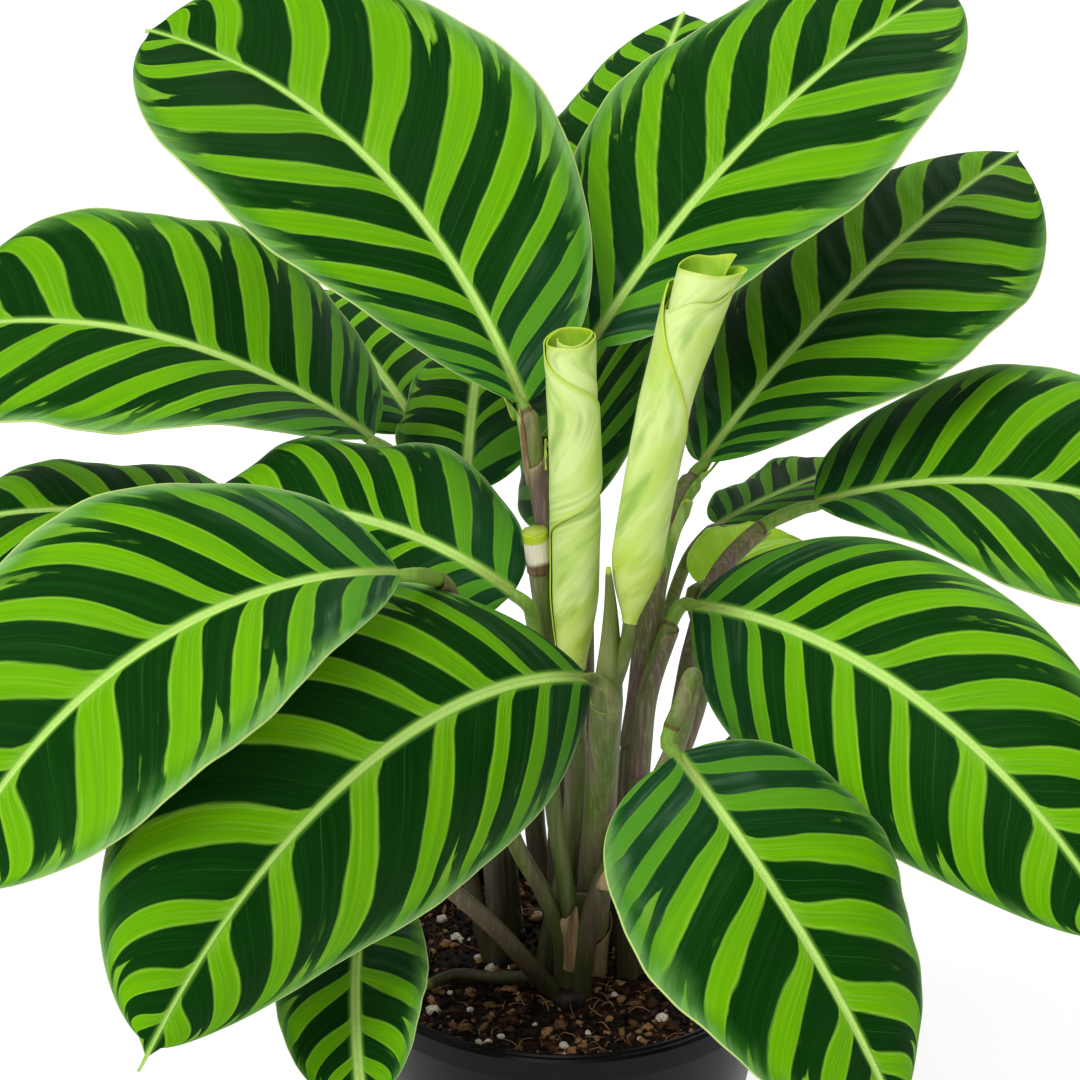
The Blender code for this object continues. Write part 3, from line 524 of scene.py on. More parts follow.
BLADES = [
    Blade("leaf_top_left", (-16, -4, 364), heading=132, rise=57, roll=-18, length=220,
          width=138, arch=51, sweep=19, fold=23, droop=19, twist=-5, left_power=0.86,
          right_power=0.64, phase=0.1, rows=110, columns=30,
          left_bands=(0.042, 0.096, 0.18, 0.297, 0.437, 0.605, 0.83, 0.95),
          right_bands=(0.078, 0.15, 0.244, 0.352, 0.502, 0.675, 0.86, 0.955)),
    Blade("leaf_top_right", (9, 31, 374), heading=45, rise=43, roll=6, length=220,
          width=127, arch=28, sweep=-6, fold=20, droop=30, twist=6, left_power=0.55,
          right_power=0.65, phase=0.55, rows=110, columns=30,
          left_bands=(0.03, 0.115, 0.262, 0.455, 0.63, 0.79, 0.91), slant=0.16,
          right_bands=(0.085, 0.195, 0.344, 0.56, 0.85)),
    Blade("leaf_top_back", (10, 84, 361), heading=73, rise=47, roll=-10, length=182,
          width=104, arch=36, sweep=4, fold=13, droop=47, phase=0.3),
    Blade("leaf_right_upper", (53, 45, 321), heading=44, rise=37, roll=-9, length=213,
          width=121, arch=29, sweep=5, fold=11, droop=51, twist=26, left_power=0.55,
          right_power=0.75, phase=0.8, rows=110, columns=30,
          left_bands=(0.034, 0.12, 0.236, 0.395, 0.545, 0.715, 0.905), slant=0.1,
          right_bands=(0.027, 0.075, 0.151, 0.254, 0.402, 0.585, 0.785, 0.93)),
    Blade("leaf_left_upper", (-75, 50, 329), heading=158, rise=29, roll=-6, length=210,
          width=132, arch=51, sweep=-3, fold=20, droop=29, twist=-31, left_power=0.8,
          right_power=0.6, wave=3.5, phase=0.23, rows=110, columns=30,
          left_bands=(0.04, 0.105, 0.178, 0.288, 0.437, 0.645, 0.83, 0.95),
          right_bands=(0.03, 0.085, 0.156, 0.246, 0.364, 0.505, 0.67, 0.84)),
    Blade("leaf_left_back", (-118, 60, 278), heading=173, rise=20, roll=-8, length=164,
          width=98, arch=46, phase=0.6,
          left_bands=(0.1, 0.2, 0.33, 0.5, 0.68, 0.85),
          right_bands=(0.09, 0.16, 0.255, 0.39, 0.57, 0.76)),
    Blade("leaf_left_front", (-59, -94, 336), heading=207, rise=13, roll=-17, length=203,
          width=120, arch=68, sweep=15, fold=23, droop=25, twist=-9, left_power=0.75,
          right_power=0.55, phase=0.15, rows=110, columns=30,
          left_bands=(0.065, 0.167, 0.268, 0.39, 0.595, 0.825, 0.93),
          right_bands=(0.052, 0.138, 0.23, 0.329, 0.451, 0.604, 0.77, 0.9)),
    Blade("leaf_front_left", (8, -46, 272), heading=232, rise=25, roll=-53, length=252,
          width=129, arch=73, sweep=-2, fold=10, droop=56, twist=-12, right_power=0.68,
          phase=0.45, tail=9.0, rows=120, columns=30,
          left_bands=(0.035, 0.115, 0.206, 0.341, 0.518, 0.703, 0.848, 0.96),
          right_bands=(0.044, 0.145, 0.248, 0.364, 0.485, 0.66, 0.805, 0.91, 0.968)),
    Blade("leaf_left_inner", (-20, -29, 299), heading=160, rise=32, roll=-33, length=144,
          width=91, arch=58, fold=13, droop=44, twist=7, right_power=0.48, wave=5.0,
          phase=0.38, rows=80, columns=24,
          left_bands=(0.065, 0.155, 0.28, 0.42, 0.58, 0.76, 0.9),
          right_bands=(0.05, 0.158, 0.3, 0.408, 0.51, 0.69, 0.86)),
    Blade("leaf_back_left", (-39, 60, 302), heading=88, rise=32, roll=-21, length=140,
          width=78, arch=43, sweep=-4, fold=13, droop=47, phase=0.9,
          left_bands=(0.1, 0.19, 0.32, 0.475, 0.65, 0.83),
          right_bands=(0.08, 0.25, 0.4, 0.56, 0.75, 0.9)),
    Blade("leaf_far_left", (-60, 150, 292), heading=118, rise=22, roll=0, length=160,
          width=90, arch=35, sweep=-8, phase=0.25),
    Blade("leaf_back_middle", (4, 70, 288), heading=86, rise=39, roll=-51, length=165,
          width=98, arch=35, fold=17, left_power=0.33, phase=0.5),
    Blade("leaf_hanging_small", (-74, -86, 199), heading=264, rise=-9, roll=21, length=91,
          width=59, arch=28, sweep=16, fold=22, droop=27, wave=1.5, phase=0.0,
          left_bands=(0.1, 0.213, 0.4, 0.65, 0.82),
          right_bands=(0.1, 0.23, 0.41, 0.65, 0.8)),
    Blade("leaf_front_right", (39, -98, 267), heading=313, rise=-33, roll=10, length=150,
          width=122, arch=28, sweep=13, fold=15, droop=41, twist=-7, left_power=0.45,
          right_power=0.4, wave=2.0, phase=0.65, rows=110, columns=34,
          left_bands=(0.057, 0.155, 0.283, 0.468, 0.695, 0.87),
          right_bands=(0.036, 0.107, 0.209, 0.358, 0.56, 0.75, 0.9)),
    Blade("leaf_right_front", (49, 8, 277), heading=318, rise=12, roll=46, length=221,
          width=121, arch=62, fold=8, droop=60, left_power=0.42, right_power=0.42,
          phase=0.2, rows=110, columns=30,
          left_bands=(0.033, 0.12, 0.187, 0.276, 0.386, 0.505, 0.659, 0.785, 0.91),
          right_bands=(0.055, 0.135, 0.223, 0.333, 0.452, 0.614, 0.805, 0.93)),
    Blade("leaf_right_side", (98, 56, 299), heading=0, rise=18, roll=13, length=210,
          width=130, arch=60, sweep=-6, fold=19, droop=32, twist=24, right_power=0.75,
          phase=0.85, rows=110, columns=30,
          left_bands=(0.055, 0.118, 0.2, 0.305, 0.427, 0.56, 0.71, 0.86),
          right_bands=(0.042, 0.13, 0.234, 0.36, 0.51, 0.66, 0.82)),
    Blade("leaf_back_right", (63, 100, 271), heading=40, rise=11, roll=-10, length=120,
          width=62, arch=22, fold=19, droop=34, phase=0.4),
    Blade("leaf_young_right", (53, 40, 271), heading=49, rise=17, roll=18, length=72,
          width=40, arch=43, wave=1.5, phase=0.75),
    Blade("leaf_low_back_left", (-60, 62, 200), heading=120, rise=30, roll=-8, length=165,
          width=96, arch=50, phase=0.1),
    Blade("leaf_low_back_right", (88, 82, 200), heading=55, rise=25, roll=6, length=155,
          width=92, arch=48, phase=0.6),
]
TIP_POWER = 0.62            # the outline's fullness towards the tip
TAIL_HALF = 1.2
TAIL_TAPER = 0.8
WAVE_COUNT = 2.6
FIRST_STATION = 0.0008      # shares of the length at which the first and the last row lie
LAST_STATION = 0.996
ROW_SPREAD = 0.55           # the rest of the rows' spacing is closer at both ends
BEND_STEPS = 60
TAIL_ROWS = 3
BLADE_THICK = 0.45
KEEL_THICK = 2.9
KEEL_FADE = 0.65            # share of the keel that is lost on the way to the tip
KEEL_REACH = 2.7            # how far from the middle the keel has died out
RIB_COLUMNS = (0.0, 0.013, 0.026, 0.042, 0.065)
PLEAT = 0.28                # height of the soft pleats between the side veins
PLEAT_LENGTH = 10.5
SWELL = 0.9                 # height of the slow unevenness of a blade
SWELL_SIZE = 34.0
RIPPLE = 0.35
RIPPLE_COUNT = 9.3
VEIN_CURL = 3.6             # how far a vein runs along the midrib before it leaves
# How much further on a vein is at the edge, as shares of the midrib's length: at least,
# how much more for each share of it that lies behind, and how much less for its square.
VEIN_LEAD, VEIN_GAIN, VEIN_LOSS = 0.08, 0.72, 0.8
# Its way there: it leaves straight and bends on near the edge. Shares and powers.
VEIN_WAY = ((0.78, 1), (0.22, 3), (0.1, 12))
CHART_STEP = 40             # keeps the numbers of one blade's bands clear of the next's
CHART_SHIFT = 10


def half_width(blade, s, v):
    """Width of the half that v lies on: 0 at both ends of the blade."""
    if s > 1:
        return TAIL_HALF * (1 - (s - 1) * blade.length / blade.tail * TAIL_TAPER)
    power = blade.left_power if v > 0 else blade.right_power
    widest = power / (power + TIP_POWER)
    return (blade.width / 2 * (s / widest) ** power
            * ((1 - s) / (1 - widest)) ** TIP_POWER)


def blade_direction(blade, s):
    """Heading and rise of the midrib, in radians, at share s of its length."""
    return (math.radians(blade.heading + blade.sweep * s),
            math.radians(blade.rise - blade.arch * s))


def along(heading, rise):
    return Vector((math.cos(rise) * math.cos(heading), math.cos(rise) * math.sin(heading),
                   math.sin(rise)))


def blade_frames(blade, stations):
    """Midrib point, left-hand direction and upper side at each station."""
    frames = []
    point = Vector(blade.base)
    reached = 0.0
    for s in stations:
        pieces = max(1, round((s - reached) * BEND_STEPS))
        step = (s - reached) / pieces
        for piece in range(pieces):
            middle = reached + (piece + 0.5) * step
            point = point + along(*blade_direction(blade, middle)) * step * blade.length
        reached = s
        heading, rise = blade_direction(blade, s)
        level_up = Vector((-math.sin(rise) * math.cos(heading),
                           -math.sin(rise) * math.sin(heading), math.cos(rise)))
        level_left = level_up.cross(along(heading, rise))
        roll = math.radians(blade.roll + blade.twist * s)
        frames.append((point, math.cos(roll) * level_left + math.sin(roll) * level_up,
                       math.cos(roll) * level_up - math.sin(roll) * level_left))
    return frames


def vein_origin(s, v):
    """Share of the midrib at which the side vein through a point of the blade leaves it."""
    reach = sum(share * abs(v) ** power for share, power in VEIN_WAY)
    if reach < 0.001:
        return s
    turn = 1 + VEIN_GAIN * reach
    left_over = max(0.0, turn ** 2 - 4 * VEIN_LOSS * reach * (s - VEIN_LEAD * reach))
    return (turn - math.sqrt(left_over)) / (2 * VEIN_LOSS * reach)


def band_number(bands, origin):
    """Where a vein leaves the midrib, counted in lime bands: a whole number at each."""
    index = 0
    while index < len(bands) - 2 and origin > bands[index + 1]:
        index += 1
    return index + (origin - bands[index]) / (bands[index + 1] - bands[index])


def blade_point(blade, frame_here, s, v):
    """A point of the blade's upper side, and how far it is from the midrib."""
    point, left, up = frame_here
    half = half_width(blade, s, v)
    fold = math.radians(blade.fold)
    droop = math.radians(blade.droop)
    bent = droop * abs(v)
    side = (math.sin(fold) - math.sin(fold - bent)) / droop * half
    lift = (math.cos(fold - bent) - math.cos(fold)) / droop * half
    shift = blade.phase + (0.5 if v > 0 else 0.0)
    ends = math.sin(math.pi * min(max(s, 0.0), 1.0)) ** 0.7
    lift += blade.wave * ends * abs(v) ** 3 * math.sin(2 * math.pi * (WAVE_COUNT * s + shift))
    lift += RIPPLE * ends * abs(v) ** 8 * math.sin(2 * math.pi * (RIPPLE_COUNT * s + shift * 3))
    inner = min(1.0, abs(v) * 6) * (1 - abs(v) ** 6) * ends
    pleat = math.sin(2 * math.pi * vein_origin(s, v) * blade.length / PLEAT_LENGTH)
    lift += PLEAT * inner * pleat
    swell = Vector((s * blade.length, v * half, blade.phase * 400)) / SWELL_SIZE
    lift += SWELL * inner * noise.noise(swell)
    return point + left * math.copysign(side, v) + up * lift, v * half


def thicken(piece, thick, offset, beneath=0, rim=0):
    """Gives a thin sheet its thickness, with other materials for its far side and rim."""
    solid = piece.modifiers.new("thickness", "SOLIDIFY")
    solid.thickness = thick * MM
    solid.offset = offset
    solid.material_offset = beneath
    solid.material_offset_rim = rim
    return solid


def make_blade(number, blade, paints, slot):
    """A grid laid along the midrib, charted by its veins, and given a thickness."""
    steps = RIB_COLUMNS[:-1] + tuple(
        RIB_COLUMNS[-1] + (1 - RIB_COLUMNS[-1]) * k / blade.columns
        for k in range(blade.columns + 1))
    columns = [v for v in reversed(steps)] + [-v for v in steps[1:]]
    last = blade.rows - 1
    stations = [FIRST_STATION + (LAST_STATION - FIRST_STATION) * (
        ROW_SPREAD * k / last + (1 - ROW_SPREAD) * (0.5 - 0.5 * math.cos(math.pi * k / last)))
                for k in range(blade.rows)]
    stations += [1.0 + blade.tail / blade.length * k / TAIL_ROWS for k in range(1, TAIL_ROWS + 1)]
    frames = blade_frames(blade, stations)
    body = bmesh.new()
    veins = body.loops.layers.uv.new("veins")
    spread = body.loops.layers.uv.new("spread")
    group = body.verts.layers.deform.new()
    spots = {}
    for vertex, (column, row) in sheet(body, len(columns) - 1, len(stations) - 1).items():
        s, v = stations[row], columns[column]
        vertex.co, off = blade_point(blade, frames[row], s, v)
        vertex.co *= MM
        spots[vertex] = (s, v, off)
        rib = math.cos(math.pi / 2 * min(1.0, abs(off) / KEEL_REACH)) ** 1.3
        vertex[group][0] = rib * (1 - KEEL_FADE * min(s, 1.0))
    for face in body.faces:
        middle = sum(spots[vertex][1] for vertex in face.verts)
        bands = blade.left_bands if middle > 0 else blade.right_bands
        for loop in face.loops:
            s, v, off = spots[loop.vert]
            origin = vein_origin(min(s, 1.0), v)
            curl = VEIN_CURL / blade.length * math.exp(-abs(off) / VEIN_CURL)
            slant = blade.slant * (v - 0.4) if middle > 0 else 0.0
            count = band_number(bands, origin + curl - slant)
            loop[veins].uv = (count + CHART_SHIFT + CHART_STEP * number, abs(v))
            loop[spread].uv = (origin * blade.length, off)
    piece = put(blade.name.replace("leaf", "blade"), body, paints, slot, blade.name)
    piece.vertex_groups.new(name="midrib")
    solid = thicken(piece, KEEL_THICK, -1.0, beneath=1, rim=2)
    solid.vertex_group = "midrib"
    solid.thickness_vertex_group = BLADE_THICK / KEEL_THICK


def upper_paint(name, lime, lime_rim, dark, dark_line, margin, **glow):
    """The upper side: lime bands with fine veins, dark green with pale lines between, and painted
    sheen.
    """
    paint = Paint(name, Specular_IOR_Level=0.035, **glow)
    along_it, side = paint.chart("veins")
    origin, off = paint.chart("spread")
    number = math.floor(along_it / CHART_STEP)
    half = paint.sum("SIGN", off)
    own = number * 17.3 + half * 5.1
    wide = paint.fibre(origin / 17.0, off / 30.0, own)
    fine = paint.fibre(origin / 2.2, off / 60.0, own)
    ragged = paint.fibre(origin / 3.4, off / 11.0, own) - 0.5
    flecks = paint.fibre(origin / 5.0, off / 12.0, own + 3.0)
    threads = paint.fibre(origin / 0.8, off / 70.0, own, detail=1.0)
    stripes = paint.fibre(origin / 3.0, off / 50.0, own + 8.0)
    patches = paint.fibre(origin / 26.0, off / 26.0, own)
    outer = side.edge(0.45, 1.0)
    near_base = origin.edge(46.0, 5.0)
    true_bands = along_it - number * CHART_STEP
    bands = true_bands + (wide - 0.5) * 0.16 + (fine - 0.5) * 0.05 + ragged * outer * 0.2

    lime_index = round(bands)
    from_lime = bands - lime_index
    from_middle = abs(from_lime)
    reach = (0.158 + (paint.chance(lime_index + own) - 0.5) * 0.09
             + side.edge(0.12, 0.0) * from_lime.edge(0.05, -0.05) * 0.07
             + side.edge(0.05, 0.55) * 0.06 - side.edge(0.8, 1.0) * 0.08)
    dark_index = math.floor(bands)
    start = paint.chance(dark_index + own + 0.37) * 0.36 + 0.6
    flame = (side + ragged * 0.14).edge(start, start + 0.36) * 0.19
    tongue = abs(bands - dark_index - 0.5).edge(flame + 0.014, flame - 0.024)
    light = from_middle.edge(reach + 0.03, reach - 0.022)
    light = paint.sum("MAXIMUM", light, tongue * side.edge(start, start + 0.06) * 0.9)
    light = paint.sum("MAXIMUM", light, flecks.edge(0.66, 0.72) * outer * 0.7)

    from_vein = abs(abs(true_bands - round(true_bands + 0.02)) - 0.035)
    centre = from_vein.edge(0.018, 0.004) * side.edge(0.7, 0.1)
    pale = paint.coats(
        lime_rim, (from_middle.edge(reach - 0.005, reach - 0.06), lime),
        (side.edge(0.13, 0.0) * 0.4, tone(150, 200, 60)),
        (stripes.edge(0.38, 0.62) * 0.35, tone(80, 146, 6)),
        (threads.edge(0.42, 0.62) * 0.22, tone(70, 140, 12)),
        (centre * 0.14, tone(166, 212, 90)), (near_base * 0.66, tone(56, 118, 40)))
    true_dark = abs(true_bands - math.floor(true_bands) - 0.5)
    vein_line = (true_dark.edge(0.011, 0.003) * paint.chance(dark_index + own + 0.71)
                 * side.edge(0.8, 0.1))
    # Painted sheen: grey-blue streaks over the dark bands, mostly near the base and a little towards
    # the edge, in place of a sheen of light.
    painted_sheen_streaks = stripes.edge(0.44, 0.68) * patches.edge(0.4, 0.62)
    deep = paint.coats(
        dark, (patches * 0.5, dark_line), (threads.edge(0.45, 0.64) * 0.34, dark_line),
        (stripes.edge(0.52, 0.7) * 0.4, dark_line), (vein_line * 0.4, tone(56, 112, 44)),
        (near_base * 0.6, tone(26, 66, 36)),
        (painted_sheen_streaks * (near_base * 0.42 + outer * 0.06), tone(84, 112, 88)))

    from_rib = abs(off)
    rib_edge = 2.15 - origin.edge(70.0, 225.0) * 1.25
    rib = from_rib.edge(rib_edge + 0.3, rib_edge - 0.3)
    crease = from_rib.edge(0.5, 0.1)
    rib_colour = paint.coats(
        tone(132, 184, 62), (from_rib.edge(rib_edge, rib_edge - 1.0), tone(186, 222, 118)),
        (crease * 0.2, tone(160, 198, 92)), (threads.edge(0.4, 0.7) * 0.2, tone(140, 186, 80)),
        (origin.edge(30.0, 2.0) * 0.7, tone(112, 126, 52)))
    # Painted sheen: paler patches near the margins, and a pale band at the very edge, by a random
    # amount on each half, where the blade bends down and light would glance off it.
    sheen = (patches + ragged * 0.3).edge(0.42, 0.62) * side.edge(0.74, 0.98)
    bent = paint.chance(number * 2.0 + half + 4.0) * (side + ragged * 0.08).edge(0.9, 1.0)
    colour = paint.coats(
        deep, (light, pale), ((side + ragged * 0.1).edge(0.8, 0.97) * 0.55, tone(46, 112, 26)),
        (sheen * 0.3, tone(116, 168, 80)), (bent * 0.62, tone(150, 194, 124)),
        (side.edge(0.985, 0.993), margin),
        (from_rib.edge(rib_edge + 1.5, rib_edge) * 0.45, tone(112, 170, 62)), (rib, rib_colour))
    relief = (threads * 0.35 + rib * 0.6 - crease * rib * 0.4 + patches * 0.2
              + centre * 0.25 + vein_line * 0.3 + stripes * 0.5)
    return paint.finish(colour, 0.46 + patches * 0.14, relief, 0.3)


def under_paint(name, plain, flush, banded):
    """The underside: matt, with the bands and veins showing through."""
    paint = Paint(name, Specular_IOR_Level=0.2)
    along_it = paint.chart("veins")[0]
    origin, off = paint.chart("spread")
    number = math.floor(along_it / CHART_STEP)
    wide = paint.fibre(origin / 15.0, off / 19.0, number)
    threads = paint.fibre(origin / 0.85, off / 60.0, number, detail=1.0)
    cloud = paint.fibre(origin / 40.0, off / 40.0, number * 3.0)
    bands = along_it - number * CHART_STEP + (wide - 0.5) * 0.2
    light = abs(bands - round(bands)).edge(0.25, 0.19)
    colour = paint.coats(
        plain, (cloud.edge(0.3, 0.7) * 0.6 + (1 - light) * banded, flush), (light * 0.35, plain),
        (threads.edge(0.5, 0.65) * 0.25, tone(132, 150, 108)),
        (abs(off).edge(2.9, 2.2), tone(150, 172, 98)))
    return paint.finish(colour, 0.52 + cloud * 0.1, threads * 0.5 + light * 0.2, 0.3)


def rim_paint(name, size, first, second, **fixed):
    """The cut edge of a leaf: one colour with soft patches of another."""
    paint = Paint(name, **fixed)
    patches = paint.grain(paint.place(), size)
    return paint.finish(paint.coats(first, (patches, second)), 0.45, 0.5, 0.1)


leaf_paints = [
    upper_paint("zebra_leaf_upper", tone(106, 170, 2), tone(132, 188, 48), tone(4, 42, 4),
                tone(16, 70, 10), tone(186, 210, 120)),
    under_paint("zebra_leaf_under", tone(104, 134, 78), tone(104, 74, 92), 0.25),
    rim_paint("zebra_leaf_edge", 6.0, tone(158, 196, 96), tone(196, 214, 140)),
]
# The young leaf's upper side has a faint lime emission: painted light, standing in for light shining
# through it from behind.
young_paints = [
    upper_paint("young_leaf_upper", tone(190, 218, 44), tone(178, 212, 40), tone(160, 200, 30),
                tone(192, 216, 34), tone(222, 230, 120), Emission_Color=tone(158, 204, 44),
                Emission_Strength=0.3),
    under_paint("young_leaf_under", tone(156, 190, 84), tone(140, 170, 80), 0.1),
    leaf_paints[2],
]
for number, blade in enumerate(BLADES):
    if blade.name == "leaf_young_right":
        make_blade(number, blade, young_paints, "young_blade")
    else:
        make_blade(number, blade, leaf_paints, "blade")


# Rolled leaves. Two young blades that haven't opened yet, each wound about twice round
# itself, thin and pale lime, streaked along its side veins and greener at its outer edge.
@dataclass
class Roll:
    """A young leaf still rolled up: its axis, from bottom to top, and its windings."""
    name: str
    axis: tuple             # points along the axis
    radii: tuple            # outer radius at those points
    turns: float            # how often it goes round
    pitch: float            # how much a winding lies outside the last one
    edge_turn: float        # where the outer edge stands at the top
    edge_wrap: float        # how much further round it reaches lower down
    wrap_ends: tuple        # shares of the height between which it comes round, at the top
    wrap_starts: tuple      # and between which it goes back, at the bottom
    tops: tuple             # how much higher the top stands, from the outer edge inwards
    lip: float              # how far the top flares towards the right


ROLLS = [
    Roll("rolled_leaf_left", axis=((2, -27, 267), (3, -24, 300), (3, -20, 340), (1, -13, 393)),
         radii=(5.0, 9.0, 9.6, 9.4), turns=2.0, pitch=0.9, edge_turn=185, edge_wrap=190,
         wrap_ends=(0.80, 0.97), wrap_starts=(0.49, 0.71),
         tops=(-1.4, 2.2, 1.4, -1.4, -1.6, 2.4, 2.4, -1.0, 0.4), lip=0.0),
    Roll("rolled_leaf_right",
         axis=((23, -36, 290), (26, -32, 318), (36, -21, 372), (50, -10, 419)),
         radii=(2.4, 9.5, 9.8, 12.2), turns=2.5, pitch=1.0, edge_turn=190, edge_wrap=185,
         wrap_ends=(0.5, 0.95), wrap_starts=(-1.0, -0.5),
         tops=(-8.0, -6.0, -2.0, -11.0, -18.0, -5.0, 3.0, -1.0, -1.5, 3.5, 7.0), lip=4.0),
]
ROLL_THICK = 0.45
ROLL_CORE = 1.6             # the windings draw together where the roll is this slim
ROLL_CURL = 3.4             # how far the inner edge bends in towards the axis
ROLL_TOP = 6                # power that keeps the shape of the top to the mouth of the roll
ROLL_ROWS = 120
ROLL_COLUMNS = 150
ROLL_DENT = 0.5             # depth of the soft dents in the sheet
TURN_LENGTH = 60.0          # length of the sheet in one turn, for its chart
VEIN_ROUND, VEIN_DOWN = 0.62, 0.78      # way that the side veins run on the wound sheet


def hermite(start, lead_in, stop, lead_out, t):
    """Point at t on a smooth curve with a given direction at both its ends."""
    return ((2 * t ** 3 - 3 * t ** 2 + 1) * start + (t ** 3 - 2 * t ** 2 + t) * lead_in
            + (3 * t ** 2 - 2 * t ** 3) * stop + (t ** 3 - t ** 2) * lead_out)


def axis_point(points, share):
    """Point at a share of a smooth axis through the given points."""
    place_on = share * (len(points) - 1)
    index = min(int(place_on), len(points) - 2)
    before = points[max(index - 1, 0)]
    start, stop = points[index], points[index + 1]
    after = points[min(index + 2, len(points) - 1)]
    return hermite(start, (stop - before) / 2, stop, (after - start) / 2, place_on - index)


def ease(value, low, high):
    """0 below low, 1 above high, and smooth in between."""
    share = min(1.0, max(0.0, (value - low) / (high - low)))
    return share * share * (3 - 2 * share)


def between(values, share):
    """Value at a share along an evenly spaced list, eased from one to the next."""
    place_on = share * (len(values) - 1)
    index = min(int(place_on), len(values) - 2)
    t = ease(place_on, index, index + 1)
    return values[index] * (1 - t) + values[index + 1] * t


def lay_chart(layer, places):
    """Writes a UV map: the two numbers that each point has, at its faces' corners."""
    for face in {face for vertex in places for face in vertex.link_faces}:
        for loop in face.loops:
            loop[layer].uv = places[loop.vert]


def make_roll(roll, paints):
    """A sheet wound round its axis, each winding outside the last, open at the top."""
    points = [Vector(point) for point in roll.axis]
    length = (points[-1] - points[0]).length
    forward = (points[-1] - points[0]) / length
    across = Vector((1, 0, 0))
    across = (across - forward * across.dot(forward)).normalized()
    behind = forward.cross(across)
    body = bmesh.new()
    wound = body.loops.layers.uv.new("wound")
    spots = {}
    for vertex, (column, row) in sheet(body, ROLL_COLUMNS, ROLL_ROWS).items():
        inward, share = 1 - column / ROLL_COLUMNS, row / ROLL_ROWS
        height, arc = share * length, inward * roll.turns * TURN_LENGTH
        spots[vertex] = (length - height, arc)
        wrap = ease(share, *roll.wrap_starts) * (1 - ease(share, *roll.wrap_ends))
        turn = math.radians(roll.edge_turn + roll.edge_wrap * wrap - 360 * roll.turns * inward)
        outer = between(roll.radii, share)
        inset = roll.pitch * roll.turns * inward + ROLL_CURL * inward ** 9
        tight = min(1.0, (outer - ROLL_CORE) / (roll.pitch * roll.turns + ROLL_CURL + 1.0))
        lip = roll.lip * max(0.0, math.cos(turn)) ** 3 * share ** 14 * ease(inward, 0.45, 0.65)
        dent = ROLL_DENT * noise.noise(Vector((height / 16, arc / 16, roll.pitch * 9))) * share
        radius = outer - inset * tight + lip + dent * min(1.0, arc / 10)
        out = across * math.cos(turn) + behind * math.sin(turn)
        high = between(roll.tops, inward) * share ** ROLL_TOP
        vertex.co = (axis_point(points, share) + out * radius + forward * high) * MM
    lay_chart(wound, spots)
    piece = put(roll.name.replace("rolled_leaf", "roll"), body, paints, "young_blade", roll.name)
    thicken(piece, ROLL_THICK, 1.0, beneath=2, rim=1)


def roll_paint(name, light, plain, shade, gold):
    """A rolled leaf's side: pale lime, with green and yellow streaks along its side veins."""
    paint = Paint(name, Specular_IOR_Level=0.3)
    down, arc = paint.chart("wound")
    with_veins = arc * VEIN_ROUND + down * VEIN_DOWN
    over_veins = arc * VEIN_DOWN - down * VEIN_ROUND
    streaks = paint.fibre(with_veins / 34.0, over_veins / 5.0, 2.0, detail=3.0, rough=0.6)
    clouds = paint.fibre(with_veins / 30.0, over_veins / 11.0, 7.0)
    blots = paint.fibre(with_veins / 26.0, over_veins / 8.0, 13.0)
    threads = paint.fibre(with_veins / 40.0, over_veins / 0.7, 4.0)
    colour = paint.coats(
        light, (clouds.edge(0.36, 0.66), plain), (blots.edge(0.5, 0.7) * 0.62, shade),
        (streaks.edge(0.54, 0.72) * 0.26, gold), (streaks.edge(0.42, 0.28) * 0.28, shade),
        (threads.edge(0.48, 0.62) * 0.06, shade),
        ((down + clouds * 30.0).edge(90.0, 124.0) * 0.45, gold),
        (arc.edge(3.2, 0.3) * 0.75, gold), (down.edge(4.0, 0.3) * 0.5, gold))
    return paint.finish(colour, 0.42 + streaks * 0.12, threads * 0.4 + streaks * 0.6, 0.2)


roll_paints = [
    roll_paint("rolled_leaf_outside", tone(209, 228, 146), tone(181, 209, 98),
               tone(118, 162, 56), tone(186, 206, 48)),
    rim_paint("rolled_leaf_edge", 5.0, tone(170, 204, 30), tone(204, 226, 84),
              Specular_IOR_Level=0.3),
    roll_paint("rolled_leaf_inside", tone(176, 208, 66), tone(140, 186, 34),
               tone(104, 158, 22), tone(186, 214, 40)),
]
for roll in ROLLS:
    make_roll(roll, roll_paints)


# Stalks. Each leaf stands on a smooth round stalk that grows from a foot in the soil,
# sheathed and flushed purple brown low down, olive above, and with a brown ring where
# the last stretch bends into the blade.
@dataclass
class Stalk:
    """A leaf stalk: the points it grows through, and its radius at the first and last."""
    route: tuple
    thick: float
    thin: float = 2.3
    blade: str = ""         # the blade that it carries
    roll: str = ""          # the rolled leaf that it carries
    sheath: float = 0.0     # radius where its sheath ends, at the brown ring
    bare: float = 0.0       # length above the sheath
    plum: float = 0.5       # how much of it is flushed purple brown


